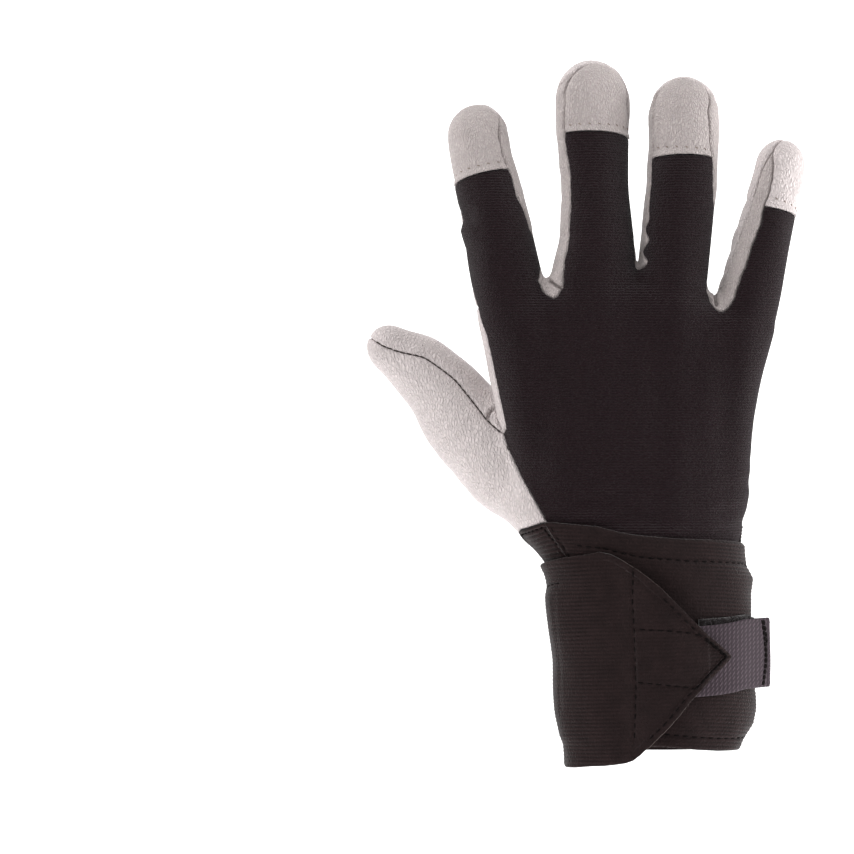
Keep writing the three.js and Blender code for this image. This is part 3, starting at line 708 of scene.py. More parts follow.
def new_material(name, roughness, specular, sheen=0.0, sheen_roughness=0.5):
    """A material with these gloss values and its coordinates in metres, or the one of that name and None."""
    material = bpy.data.materials.get(name)
    if material:
        return material, None
    material = bpy.data.materials.new(name)
    material.use_nodes = True
    shader = material.node_tree.nodes["Principled BSDF"]
    shader.inputs["Roughness"].default_value = roughness
    shader.inputs["Specular IOR Level"].default_value = specular
    shader.inputs["Sheen Weight"].default_value = sheen
    shader.inputs["Sheen Roughness"].default_value = sheen_roughness
    return material, node(material, "ShaderNodeTexCoord").outputs["Object"]


def finish_material(material, colour, height, depth_mm):
    link = material.node_tree.links.new
    shader = material.node_tree.nodes["Principled BSDF"]
    bump = node(material, "ShaderNodeBump", {"Strength": 1.0, "Distance": depth_mm * 0.001}, {"Height": height})
    link(colour, shader.inputs["Base Color"])
    link(bump.outputs["Normal"], shader.inputs["Normal"])
    return material


def noise(material, where, scale, detail, roughness=0.5):
    settings = {"Scale": scale, "Detail": detail, "Roughness": roughness}
    return node(material, "ShaderNodeTexNoise", settings, {"Vector": where}).outputs["Fac"]


def wave(material, where, way, pitch_mm, distortion, detail, detail_scale):
    """Bands this far apart along an axis."""
    settings = {"wave_type": "BANDS", "bands_direction": way, "Scale": 1000 * 2 * math.pi / 20 / pitch_mm,
                "Distortion": distortion, "Detail": detail, "Detail Scale": detail_scale}
    return node(material, "ShaderNodeTexWave", settings, {"Vector": where}).outputs["Fac"]


def product(material, a, b):
    return node(material, "ShaderNodeMath", {"operation": "MULTIPLY"}, {0: a, 1: b}).outputs[0]


def add_part(material, a, part, b):
    """Part of a, and b."""
    return node(material, "ShaderNodeMath", {"operation": "MULTIPLY_ADD", 1: part}, {0: a, 2: b}).outputs[0]


def ramp(material, factor, colour, low, dark, high, light):
    """A colour made darker at the low place of a factor and lighter at the high one."""
    made = node(material, "ShaderNodeValToRGB", links={"Fac": factor})
    for element, place, shade in zip(made.color_ramp.elements, (low, high), (dark, light)):
        element.position = place
        element.color = [c * shade for c in colour[:3]] + [1]
    return made.outputs["Color"]


def goatskin(hide="leather"):
    """Drum-dyed pearl goatskin: soft broad gloss over a pebbled grain, its cells drawn out along the hand."""
    material, where = new_material("goatskin_full_grain_" + hide, 0.52, 0.35, 0.1, 0.4)
    if where is None:
        return material
    colour = getattr(bpy.context.scene.glove_colours, hide)
    finer, depth_mm = (1.2, 0.5) if hide == "grey_leather" else (1, 0.56)
    # Wrinkles are 0.8 mm wide and 1.7 mm long, and finer on the darker leather of the caps and side strips, whose
    # darkening is painted shade.
    drawn_out = node(material, "ShaderNodeMapping", {"Rotation": (0, 0.15, 0), "Scale": (1, 1, 0.48)},
                     {"Vector": where}).outputs[0]
    wrinkles = noise(material, drawn_out, 1200 * finer, 2.5, 0.6)
    cells = node(material, "ShaderNodeTexVoronoi", {"feature": "DISTANCE_TO_EDGE", "Scale": 1000 * finer},
                 {"Vector": drawn_out})
    pebble = node(material, "ShaderNodeMapRange", {"From Max": 0.3, "interpolation_type": "SMOOTHSTEP"},
                  {"Value": cells.outputs["Distance"]}).outputs[0]
    soft = noise(material, drawn_out, 300, 3.0, 0.6)
    height = add_part(material, soft, 0.5, add_part(material, pebble, 0.45, wrinkles))
    tint = ramp(material, noise(material, where, 45, 4.0), colour, 0.3, 0.93, 0.72, 1)
    # Painted shade and highlight: the colour is made darker in the low places of the grain's height and a little
    # lighter on its tops.
    painted_crease_shade = node(material, "ShaderNodeMapRange",
                   {"From Min": 0.65, "From Max": 1.35, "To Min": 0.8, "To Max": 1.08}, {"Value": height})
    shaded = node(material, "ShaderNodeMixRGB", {"blend_type": "MULTIPLY", 0: 1.0}, {1: tint, 2: painted_crease_shade.outputs[0]})
    return finish_material(material, shaded.outputs[0], height, depth_mm)


def stretch_knit():
    """Circular-knit polyester and elastane, dyed black: matt, with fine courses across the hand."""
    material, where = new_material("polyester_stretch_knit_black", 0.85, 0.04, 0.12, 0.5)
    if where is None:
        return material
    # Real courses are 0.35 mm apart: drawn at 1 mm, the finest that the render can show.
    courses = wave(material, where, "Z", 1.0, 4.5, 3.0, 6.0)
    dotted = product(material, noise(material, where, 1500, 2.0), courses)
    mixed = add_part(material, noise(material, where, 60, 3.0), 0.35, dotted)
    tint = ramp(material, mixed, bpy.context.scene.glove_colours.knit, 0.15, 0.8, 0.8, 1.5)
    return finish_material(material, tint, dotted, 0.65)


def ribbed_elastic():
    """Woven elastic with covered rubber threads lying along it as ribs, painted lighter on their tops as painted
    highlight and darker between them as painted shade.
    """
    material, where = new_material("woven_rib_elastic_black", 0.85, 0.08, 0.2, 0.4)
    if where is None:
        return material
    ribs = node(material, "ShaderNodeAttribute", {"attribute_name": "rib"}).outputs["Fac"]
    threads = noise(material, where, 1500, 2.0)
    speckle = product(material, threads, noise(material, where, 180, 3.0))
    # Painted highlight on the rib tops and painted shade between them, from the rib attribute.
    lit = add_part(material, ribs, 0.6, speckle)
    tint = ramp(material, lit, bpy.context.scene.glove_colours.elastic, 0.2, 0.55, 1.0, 2.1)
    return finish_material(material, tint, threads, 0.4)


def hook_tape():
    """The woven nylon back of hook tape: grey-black, in a fine twill that runs up to the right."""
    material, where = new_material("nylon_twill_hook_tape", 0.7, 0.12, 0.04)
    if where is None:
        return material
    # Real yarns are 0.4 mm wide: drawn at about 1 mm, the finest that the render can show.
    turned = node(material, "ShaderNodeMapping", {"Rotation": (0, math.radians(48), 0)}, {"Vector": where})
    twill = wave(material, turned.outputs[0], "Z", 1.1, 0.8, 1.0, 4.0)
    warp = wave(material, where, "X", 1.6, 0.8, 1.0, 4.0)
    height = add_part(material, noise(material, where, 1400, 2.0), 0.5, product(material, twill, warp))
    tint = ramp(material, height, bpy.context.scene.glove_colours.strap, 0.15, 0.55, 1.0, 1.35)
    return finish_material(material, tint, height, 0.16)


def loop_pile():
    """Brushed nylon loops, matted together: no gloss, with painted shade between the tufts and painted highlight on
    them.
    """
    material, where = new_material("nylon_loop_pile_black", 0.95, 0.1, 0.3)
    if where is None:
        return material
    tufts = noise(material, where, 700, 4.0, 0.7)
    # Painted shade between the tufts and painted highlight on their tops.
    tint = ramp(material, tufts, bpy.context.scene.glove_colours.pile, 0, 0.4, 1, 1.6)
    return finish_material(material, tint, tufts, 0.6)


def thread(name, colour):
    """Twisted polyester sewing thread, worn matt on its twist."""
    material, where = new_material(name, 0.8, 0.05)
    if where is None:
        return material
    twist = noise(material, where, 3000, 1.0)
    return finish_material(material, ramp(material, twist, colour, 0, 0.7, 1, 1), twist, 0.05)


# The sewn panels

@lru_cache(maxsize=None)
def cut_form():
    """The form of the hand cut along its seams, as a dict of open patches."""
    pitch = bpy.context.scene.glove_sizes.mesh_pitch * 1000
    points, quads = surface_net(sampled_field(pitch), GRID_LOW, pitch)
    points, _ = onto_form(points)
    worn = split((points, triangles(points, quads)), lambda q: q["hem"])[0]
    skin, cuff = split(worn, lambda q: q["hand"])
    thumb, hand = split(skin, lambda q: q["thumb"])
    gusset, thumb_main = split(thumb, lambda q: q["gusset"])
    back, palm = split(hand, lambda q: q["back"])
    front, sides = split(palm, lambda q: q["front"])
    fronts, palm = split(front, lambda q: q["crease"])
    caps, back = split(back, lambda q: q["cap"])
    patches = dict(cuff=cuff, thumb_gusset=gusset, thumb_main=thumb_main, palm=palm, back=back)
    for i, name in enumerate(FINGERS):
        later = FINGERS[i + 1 :]

        def own(q, name=name, later=later):
            return np.min([q["near_" + o] for o in later], axis=0) - q["near_" + name]

        if not later:
            patches["front_" + name], patches["cap_" + name] = fronts, caps
            break
        patches["front_" + name], fronts = split(fronts, own)
        patches["cap_" + name], caps = split(caps, own)
        following, beyond = later[0], later[1:]

        def facing(q, following=following, beyond=beyond, own=own):
            near = np.min([q["near_" + o] for o in beyond], axis=0) - q["near_" + following]
            return np.maximum(own(q), np.minimum(near, -q["side_" + following]))

        if beyond:
            patches[f"fourchette_{name}_{following}"], sides = split(sides, facing)
        else:
            patches[f"fourchette_{name}_{following}"] = sides
    return {name: largest(patch) for name, patch in patches.items()}


def rolled(gap, radius):
    """How deep a panel's edge turns in, by its distance from the seam."""
    short = 1 - np.clip(gap / radius, 0, 1)
    return -radius * (1 - np.sqrt(np.maximum(1 - short**2, 0)))


def add_panel(name, relief, material, slot, wall_mm, ribs=None):
    """One sewn panel: its patch made fine near seams, ribs and folds, raised by its relief, and given a wall."""
    patch = cut_form()[name]
    patch = refine(refine(patch, 2.2, 0.85), 1.1, 0.5)
    if ribs:
        patch = refine(refine(patch, 14, 0.85, ribs.gap), 14, 0.65, ribs.gap)
    if name in FOLDS:
        for longest in (0.8, 0.4, 0.25):
            patch = refine(patch, 1.8, longest, lambda points, faces: fold_distance(name, points))
    points, faces = patch
    points, normals = onto_form(points)
    gap = edge_distance(points, faces)
    raised = relief(points, normals, gap, seams(points))
    outer = points + normals * raised[:, None]
    inner = points - normals * (wall_mm + np.minimum(0.4, gap * 0.2))[:, None]
    n = len(points)
    rim = open_edges(faces)
    closed = np.concatenate([
        faces,
        faces[:, ::-1] + n,
        np.stack([rim[:, 1], rim[:, 0], rim[:, 0] + n], axis=1),
        np.stack([rim[:, 1], rim[:, 0] + n, rim[:, 1] + n], axis=1),
    ])
    piece = add_mesh(name, np.concatenate([outer, inner]), closed, material, slot, name)
    if ribs:
        # The rib values paint the elastic lighter on the rib tops and darker between them, as painted highlight and
        # shade.
        values = np.concatenate([ribs.value(seams(points)), np.zeros(n)])
        piece.data.attributes.new("rib", "FLOAT", "POINT").data.foreach_set("value", values)
    return piece


def leather_relief(points, normals, gap, q):
    """Leather sewn inside out: edges that roll into the seam, puckers beside it and a soft, uneven face."""
    sizes = bpy.context.scene.glove_sizes
    fullness = 0.45 * (1 - np.exp(-gap / 3.5)) - 0.15
    puckers = 0.2 * ripple(points, 5.0, 3) * np.exp(-gap / 3.5) * np.minimum(gap, 1)
    folds = 0.22 * ripple(points, 16.0, 5) * (1 - np.exp(-gap / 4))
    return rolled(gap, sizes.seam_radius * 1000) + fullness + puckers + folds


# Sharp folds in the crotches, as side position and height, seen from the back.
FOLDS = {
    "thumb_gusset": [(-60, 133), (-61.2, 132), (-62, 130.4), (-62, 128.4)],
    "fourchette_index_middle": [(-39.4, 179.6), (-37.6, 178), (-35.6, 177)],
    "fourchette_ring_little": [(21.6, 174.4), (21.4, 173), (21.7, 171)],
}


def fold_distance(name, points):
    """How far points on the back side lie from the panel's fold."""
    corners = np.array(FOLDS[name])
    steps = np.linspace(0, len(corners) - 1, 40)
    x, z = (np.interp(steps, np.arange(len(corners)), corners[:, k]) for k in (0, 1))
    off = np.min(np.hypot(points[:, :1] - x, points[:, 2:] - z), axis=1)
    return off + 20 * (points[:, 1] > 9)


def folded_relief(name):
    """A strip of leather with the fold of its crotch, and the slack beside it."""

    def relief(points, normals, gap, q):
        off = fold_distance(name, points)
        slack, fold = 0.5 * np.exp(-((off / 1.8) ** 2)), 2.3 * np.exp(-((off / 0.6) ** 2))
        return leather_relief(points, normals, gap, q) + slack - fold

    return relief


FRONT_CREASES = {
    "index": [(94, 1.6, 0.5), (102, 2.4, 0.6), (111, 1.8, 0.4), (121, 2.4, 0.7), (128, 1.6, 0.4), (137, 2.2, 0.5)],
    "middle": [(86, 2.0, 0.5), (95, 1.8, 0.5), (104, 2.6, 0.7), (113, 1.6, 0.4), (124, 2.2, 0.6), (133, 1.7, 0.4),
               (144, 2.4, 0.6)],
    "ring": [(84, 2.0, 0.5), (93, 1.8, 0.5), (102, 2.6, 0.7), (111, 1.6, 0.4), (120, 2.2, 0.6), (129, 1.7, 0.4),
             (140, 2.4, 0.6)],
    "little": [(80, 2.0, 0.5), (89, 1.8, 0.5), (98, 2.4, 0.6), (107, 1.6, 0.4), (118, 2.2, 0.6)],
}


def front_relief(finger):
    """Leather over a finger's front, with the cross creases that bending leaves."""

    def relief(points, normals, gap, q):
        s = q["s_" + finger] + 1.2 * ripple(points, 18.0, 11)
        creases = sum(-depth * np.exp(-((s - at) / width) ** 2) for at, width, depth in FRONT_CREASES[finger])
        return leather_relief(points, normals, gap, q) + creases * (1 - np.exp(-gap / 3.0))

    return relief


def palm_relief(points, normals, gap, q):
    """The padded palm: full, with a soft roll down to the crease under the fingers."""
    roll = -0.9 * np.exp(-np.maximum(-q["crease"], 0) / 3.0)
    return leather_relief(points, normals, gap, q) + roll * smoothstep(points[:, 1], 0, 6)


def cap_relief(points, normals, gap, q):
    """A fingertip cap, whose cut lower edge lies on the knit instead of turning in."""
    sizes = bpy.context.scene.glove_sizes
    below = np.exp(-((q["cap"] / 1.6) ** 2)) * smoothstep(q["back"], 0, 1.2)
    stitched = -0.22 * np.exp(-(((q["cap"] - sizes.stitch_inset * 1000) / 0.8) ** 2))
    inseam = rolled(gap, sizes.seam_radius * 1000)
    full = 0.4 * (1 - np.exp(-np.maximum(q["cap"] - 2, 0) / 3)) + 0.12 * ripple(points, 9.0, 8)
    return inseam * (1 - below) + 0.45 * below + stitched + full * (1 - np.exp(-gap / 2))


def thumb_relief(points, normals, gap, q):
    """The thumb, with slanting folds where it leaves the hand."""
    s = q["thumb_s"]
    slant = s + 5 * q["thumb_v"]
    folds = sum(-depth * np.exp(-((slant - at) / width) ** 2)
                for at, width, depth in ((34, 2.2, 0.2), (43, 2.6, 0.25), (53, 1.8, 0.15), (66, 2.4, 0.15)))
    return leather_relief(points, normals, gap, q) + folds * (1 - np.exp(-gap / 3.0))


# The knit's slack by height, down the thumb side of the index finger.
INDEX_WAVES = [(186, 0), (192, -0.2), (195, 0.3), (198.7, 0.7), (202.4, -0.9), (205, -0.7), (209, 0), (214, 0.3),
               (217, 0)]


def knit_relief(points, normals, gap, q):
    """Stretched knit: it dips under the caps, is drawn in at the side seams, and ripples above the wrap."""
    sizes = bpy.context.scene.glove_sizes
    ripples = 0.3 * ripple(points * [0.35, 0.35, 1.0], 7.0, 21) * np.exp(-np.maximum(points[:, 2] - 92, 0) / 14)
    folds = 0.3 * ripple(points * [1, 1, 0.4], 14.0, 23) * (1 - np.exp(-gap / 5))
    outer_side = smoothstep(-q["side_index"], 3, 9) * (q["near_index"] < 3)
    waves = along(INDEX_WAVES, points[:, 2]) * outer_side
    return rolled(gap, sizes.seam_radius * 700) + ripples + folds + waves


class CuffRibs:
    """Ribs of the cuff, which follow its top edge."""

    pitch, row = 1.75, 1.5

    @classmethod
    def value(cls, q):
        return 0.5 - 0.5 * np.cos(2 * math.pi * q["cuff_rib"] / cls.pitch)

    @classmethod
    def gap(cls, points, faces):
        """How far below the cuff's top edge points lie; the wrap hides those below 73 mm."""
        return np.maximum(-seams(points)["hand"], 0) + 20 * (points[:, 2] < 73)


def cuff_relief(points, normals, gap, q):
    """The elastic cuff, whose top edge lies over the leather."""
    over = np.exp(-((q["hand"] / 2.5) ** 2))
    sewn = np.exp(-(((q["hand"] + CuffRibs.row) / 0.6) ** 2))
    return 0.5 * over + 0.3 * CuffRibs.value(q) * (1 - sewn) - 0.25 * sewn - 0.1


# Bands round the wrist

def round_wrist(z, angle, out, on=0.0):
    """Points at heights and angles round the wrist, some way out from the hand and on along it."""
    left, right, back, front, square = section(z)
    power = 2 / square

    def place(a):
        sine, cosine = np.sin(a), np.cos(a)
        x = (left + right) / 2 + (right - left) / 2 * np.sign(sine) * np.abs(sine) ** power
        y = (front + back) / 2 - (front - back) / 2 * np.sign(cosine) * np.abs(cosine) ** power
        return np.stack([x, y], axis=1)

    way = unit(place(angle + 0.02) - place(angle - 0.02))
    away = np.stack([way[:, 1], -way[:, 0]], axis=1)
    flat = place(angle) + away * np.reshape(out, (-1, 1)) + way * np.reshape(on, (-1, 1))
    zero = np.zeros((len(z), 1))
    return np.column_stack([flat, z]), np.hstack([away, zero])


def wrap_sag(angle, z):
    """How far out the wrap stands from its even course."""
    return sum(along(rows, z) * np.exp(-(((angle - at) / 26) ** 2)) for at, rows in SAG.items())


def add_band(name, columns, shares, thick, height, material, slot, sag=None):
    """A band from columns of (angle, low, high, out, on), with a face raised by height(points, ...)."""
    angle, low, high, out, on = np.array(columns, float).T
    shares = np.asarray(shares)

    def sheet(parts, extra, raised=None):
        z = lerp(low[:, None], high[:, None], parts[None, :]).ravel()
        wide = len(parts)
        a = np.repeat(np.radians(angle), wide)
        o = np.repeat(out, wide) + extra + (sag(np.repeat(angle, wide), z) if sag else 0)
        share = np.tile(parts, len(angle))
        if raised is not None:
            o = o + raised(np.repeat(angle, wide), z, share, np.repeat(high - low, wide))
        return round_wrist(z, a, o, np.repeat(on, wide))[0]

    coarse = np.linspace(0, 1, 33)
    front, back = sheet(shares, thick, height), sheet(coarse, 0.0)
    wide, thin, count = len(shares), len(coarse), len(angle)
    n = len(front)
    i, k = np.meshgrid(np.arange(count - 1), np.arange(wide - 1), indexing="ij")
    a = (i * wide + k).ravel()
    faces = np.stack([a, a + wide, a + wide + 1, a + 1], axis=1).tolist()
    i, k = np.meshgrid(np.arange(count - 1), np.arange(thin - 1), indexing="ij")
    a = (n + i * thin + k).ravel()
    faces += np.stack([a, a + 1, a + thin + 1, a + thin], axis=1).tolist()
    i = np.arange(count - 1)
    for f, b, turn in ((i * wide, n + i * thin, 1), (i * wide + wide - 1, n + i * thin + thin - 1, -1)):
        faces += np.stack([f, b, b + thin, f + wide], axis=1)[:, ::turn].tolist()
    last = (count - 1) * wide
    faces.append(list(range(wide)) + list(range(n + thin - 1, n - 1, -1)))
    faces.append(list(range(last + wide - 1, last - 1, -1)) + list(range(n + (count - 1) * thin, n + count * thin)))
    piece = add_mesh(name, np.concatenate([front, back]), faces, material, slot, name)
    return piece, n


def wrap_row(angle):
    angle = np.atleast_1d(np.asarray(angle, float))
    rows = np.array(WRAP, float)
    low, high = (np.interp(angle, rows[:, 0], rows[:, k]) for k in (1, 2))
    on_wrap = CUFF_GAP + ELASTIC + LAYER_GAP
    over_strap = on_wrap + PATCH["thick"] + STRAP["thick"] + 2 * LAYER_GAP
    out = lerp(CUFF_GAP, on_wrap, smoothstep(angle, 262, 298))
    out = lerp(out, over_strap, smoothstep(angle, 338, 366))
    return low, high, out


@lru_cache(maxsize=None)
def wrap_run():
    """Angles round the wrap, and how far along it each lies."""
    angle = np.arange(-60.0, 412.0, 1.0)
    out = wrap_row(angle)[2]
    points = round_wrist(np.full(len(angle), 42.0), np.radians(angle), out + ELASTIC)[0]
    return angle, np.r_[0, np.cumsum(np.linalg.norm(np.diff(points, axis=0), axis=1))]


def run_of(angle):
    return np.interp(angle, *wrap_run())


def angle_of(run):
    angle, total = wrap_run()
    return np.interp(run, total, angle)


def tab_line(corners):
    """A line on the tab from (side position, height) corners, as run along the wrap and height."""
    corners = np.array(corners, float)
    steps = np.linspace(0, len(corners) - 1, 40 * len(corners))
    x, z = (np.interp(steps, np.arange(len(corners)), corners[:, k]) for k in (0, 1))
    sweep = np.linspace(-85, 85, 86)
    angle = []
    for one_x, one_z in zip(x, z):
        out = wrap_row(sweep + 360)[2] + ELASTIC
        across = round_wrist(np.full(len(sweep), one_z), np.radians(sweep), out)[0][:, 0]
        angle.append(360 + np.interp(one_x, across, sweep))
    return np.column_stack([run_of(angle), z])


def edge_line(first, last, column, inset):
    """A line beside the wrap's low (1) or high (2) edge, between two angles."""
    angle = np.linspace(first, last, max(int((last - first) * 3), 40))
    line = np.column_stack([run_of(angle), wrap_row(angle)[column - 1]])
    way = unit(np.gradient(line, axis=0))
    side = np.stack([-way[:, 1], way[:, 0]], axis=1) * (3 - 2 * column)
    line = line + side * inset
    low, high, _ = wrap_row(angle_of(line[:, 0]))
    return line[(line[:, 1] > low + 1.5) & (line[:, 1] < high - 1.5)]


@lru_cache(maxsize=None)
def wrap_rows():
    """The rows of stitches of the wrap, as run and height."""
    start, end = (run_of(angle) + 1.7 for angle in (-41.4, -46.6))
    return [
        edge_line(-30, 300, 2, 8),
        edge_line(-38, 258, 1, 4.6),
        edge_line(364, 396, 2, 2.1),
        edge_line(356, 396, 1, 2.1),
        np.column_stack([np.linspace(start, end, 60), np.linspace(90, 71, 60)]),
        *[tab_line(row) for row in TAB_ROWS],
    ]


def line_distance(run, z, lines):
    """How far places on the wrap lie from the nearest of some lines."""
    samples = np.concatenate([
        np.column_stack([np.interp(np.linspace(0, len(line) - 1, 4 * len(line)), np.arange(len(line)), line[:, k])
                         for k in (0, 1)])
        for line in lines
    ])
    tree = kdtree.KDTree(len(samples))
    for i, (a, b) in enumerate(samples.tolist()):
        tree.insert((a, b, 0), i)
    tree.balance()
    return np.array([tree.find((a, b, 0))[2] for a, b in zip(run.tolist(), z.tolist())])


def rib_wave(angle, z):
    """The wrap's ribs: 1 along their tops and 0 between them."""
    pitch = bpy.context.scene.glove_sizes.rib_pitch * 1000
    phase = (z - along(WRAP_MIDDLE, angle)) / pitch + 0.05 * np.sin(angle * 0.09 + z * 0.5)
    return 0.5 + 0.5 * np.cos(2 * math.pi * phase)


def rib_strength_and_side_light(angle):
    """How strong the ribs are, in relief and in the painted highlight on their tops and painted shade between them:
    strong at the sides of the wrist, where the light falls at a graze, and weak on its flat back.
    """
    return 0.25 + 0.75 * smoothstep(np.abs(np.sin(np.radians(angle))), 0.25, 0.85)


def wrap_height(angle, z, share, width):
    """Ribs along the wrap, thin edges, the turned-in edges and box of the tab, stitch rows and slow waves."""
    run = run_of(angle)
    low, high = share * width, (1 - share) * width
    near = run_of(angle + 0.5) - run_of(angle - 0.5)
    slopes = [(wrap_row(angle + 0.5)[k] - wrap_row(angle - 0.5)[k]) / near for k in (0, 1)]
    edge = np.minimum(*(gap / np.hypot(1, slope) for gap, slope in zip((low, high), slopes)))
    thinner = np.exp(-edge / 0.45)
    on_tab = smoothstep(angle, 334, 344)
    welt = 0.4 * on_tab * smoothstep(-edge, -3.1, -2.6)
    left, right, bottom, top = TAB_BOX
    ends = tab_line([(left, bottom), (right, bottom)])[[0, -1], 0]
    box = smoothstep(run, ends[0] - 0.5, ends[0] + 0.5) * smoothstep(-run, -ends[1] - 0.5, -ends[1] + 0.5)
    box = box * smoothstep(z, bottom - 0.5, bottom + 0.5) * smoothstep(-z, -top - 0.5, -top + 0.5)
    sewn = np.exp(-((line_distance(run, z, wrap_rows()) / 0.6) ** 2))
    crease = np.exp(-((line_distance(run, z, [tab_line(TAB_CREASE)]) / 0.8) ** 2))
    waves = 0.2 * np.sin(run * 0.24) * np.sin(z * 0.13 + run * 0.05)
    ribs = 0.24 * rib_wave(angle, z) * rib_strength_and_side_light(angle) * (1 - thinner) * (1 - 0.6 * sewn)
    folded = 0.5 * thinner * (1 - 0.7 * on_tab)
    return ribs - folded + welt + 0.35 * box - 0.25 * sewn - 0.3 * crease + waves


def wrap_points(angle, z, lift=0.0):
    """Points on the wrap's face at angles and heights, and the outward direction."""
    angle, z = np.asarray(angle, float), np.asarray(z, float)
    low, high, out = wrap_row(angle)
    share = np.clip((z - low) / np.maximum(high - low, 0.1), 0, 1)
    raised = wrap_height(angle, z, share, high - low)
    return round_wrist(z, np.radians(angle), out + ELASTIC + raised + wrap_sag(angle, z) + lift)


def add_strand(name, points, radius, material, slot):
    """A thin thread along a run of points."""
    way = unit(np.gradient(points, axis=0))
    side = unit(np.cross(way, [0.3, 1, 0.2]))
    up = np.cross(side, way)
    angle = np.linspace(0, 2 * math.pi, 6, endpoint=False)
    rings = [points + radius * (math.cos(a) * side + math.sin(a) * up) for a in angle]
    corners = np.stack(rings, axis=1).reshape(-1, 3)
    faces = [(6 * i + k, 6 * i + (k + 1) % 6, 6 * i + 6 + (k + 1) % 6, 6 * i + 6 + k)
             for i in range(len(points) - 1) for k in range(6)]
    last = 6 * (len(points) - 1)
    faces += [tuple(reversed(range(6))), tuple(last + k for k in range(6))]
    return add_mesh(name, corners, faces, material, slot)


def spaced(points, pitch):
    """Places at even steps along a run of points, as fractional indices."""
    run = np.r_[0, np.cumsum(np.linalg.norm(np.diff(points, axis=0), axis=1))]
    count = max(int(run[-1] / pitch), 1)
    return np.interp((np.arange(count) + 0.5) * run[-1] / count, run, np.arange(len(points)))


def add_stitches(name, runs, material, slot, pitch, length, radius, slant=0.0):
    """A piece of stitches laid along runs of (points, normals), each a short slanting thread sunk at its ends."""
    points, faces = [], []
    ring = np.linspace(0, 2 * math.pi, 6, endpoint=False)
    stations = np.array([-1, -0.8, 0, 0.8, 1])
    for run, normals in runs:
        index = np.arange(len(run))
        for place in spaced(run, pitch):
            at = np.array([np.interp(place, index, run[:, k]) for k in range(3)])
            up = unit(np.array([np.interp(place, index, normals[:, k]) for k in range(3)]))
            near = int(np.clip(round(place), 1, len(run) - 2))
            way = unit(run[near + 1] - run[near - 1])
            way = way * math.cos(slant) + np.cross(up, way) * math.sin(slant)
            side = np.cross(way, up)
            base = len(points)
            for station in stations:
                size = radius * (0.35 if abs(station) > 0.9 else 1)
                sunk = radius * (0.2 - 1.3 * station**2)
                centre = at + way * station * length / 2 + up * sunk
                points += [centre + size * (math.cos(a) * side + math.sin(a) * up) for a in ring]
            for r in range(len(stations) - 1):
                for k in range(6):
                    a, b = base + 6 * r + k, base + 6 * r + (k + 1) % 6
                    faces.append((a, b, b + 6, a + 6))
            faces.append([base + k for k in reversed(range(6))])
            faces.append([base + 24 + k for k in range(6)])
    return add_mesh(name, np.array(points), faces, material, slot)


# Settings

class GloveSizes(bpy.types.PropertyGroup):
    """Sizes that a user would change."""

    mesh_pitch: FloatProperty(name="Mesh pitch", description="Distance between the corners of the sewn panels",
                              default=0.0011, min=0.0007, max=0.003, precision=5, unit="LENGTH")
    seam_radius: FloatProperty(name="Seam radius", description="How far a leather edge rolls into its seam",
                               default=0.0012, min=0.0002, max=0.003, precision=5, unit="LENGTH")
    stitch_pitch: FloatProperty(name="Stitch pitch", description="Distance from one topstitch to the next",
                                default=0.0036, min=0.002, max=0.006, precision=5, unit="LENGTH")
    stitch_inset: FloatProperty(name="Stitch inset", description="From a cap's edge to its topstitching",
                                default=0.0027, min=0.001, max=0.006, precision=5, unit="LENGTH")
    rib_pitch: FloatProperty(name="Rib pitch", description="Distance between the ribs of the wrist wrap",
                             default=0.00138, min=0.001, max=0.004, precision=5, unit="LENGTH")


def colour_property(name, description, default):
    return FloatVectorProperty(name=name, description=description, subtype="COLOR", size=4, min=0, max=1,
                               default=srgb(default))


class GloveColours(bpy.types.PropertyGroup):
    """Colours of the glove's materials."""

    leather: colour_property("Leather", "Pearl goatskin", "#cac0bf")
    # The darker leather of the caps and side strips is painted shade: the same goatskin, made darker where those panels
    # lie in shade.
    grey_leather: colour_property("Grey leather", "Goatskin of caps and side strips, from a greyer hide", "#b1a7a5")
    knit: colour_property("Knit", "Black stretch knit", "#180b0f")
    elastic: colour_property("Elastic", "Black ribbed elastic", "#1b1212")
    strap: colour_property("Strap", "Grey-black hook tape", "#3b3137")
    pile: colour_property("Pile", "Black loop pile", "#1b1516")
    topstitch: colour_property("Topstitch", "Thread of the fingertip caps", "#8b7f76")
    seam_thread: colour_property("Seam thread", "Thread that shows in the thumb's seam", "#4a4340")
    dark_thread: colour_property("Dark thread", "Thread of the wrap and strap", "#110d0d")
    # This colour also serves the painted highlight along the tab's high edge.
    worn_thread_and_highlight: colour_property("Worn thread", "Thread ends at the cut edge of the tab", "#6b605c")


# Operators

class GLOVE_OT_palm(bpy.types.Operator):
    """Adds the palm and the fronts of the fingers"""

    bl_idname = "glove.palm"
    bl_label = "Palm and finger fronts"

    def execute(self, context):
        add_panel("palm", palm_relief, goatskin(), "leather", PALM_WALL)
        for finger in FINGERS:
            add_panel("front_" + finger, front_relief(finger), goatskin(), "leather", FRONT_WALL)
        return {"FINISHED"}


class GLOVE_OT_sides(bpy.types.Operator):
    """Adds the leather strips between the fingers"""

    bl_idname = "glove.sides"
    bl_label = "Strips between the fingers"

    def execute(self, context):
        for left, right in zip(FINGERS, FINGERS[1:]):
            name = f"fourchette_{left}_{right}"
            relief = folded_relief(name) if name in FOLDS else leather_relief
            # The strips between the fingers take the darker leather, as painted shade.
            add_panel(name, relief, goatskin("grey_leather"), "leather", THIN_WALL)
        return {"FINISHED"}


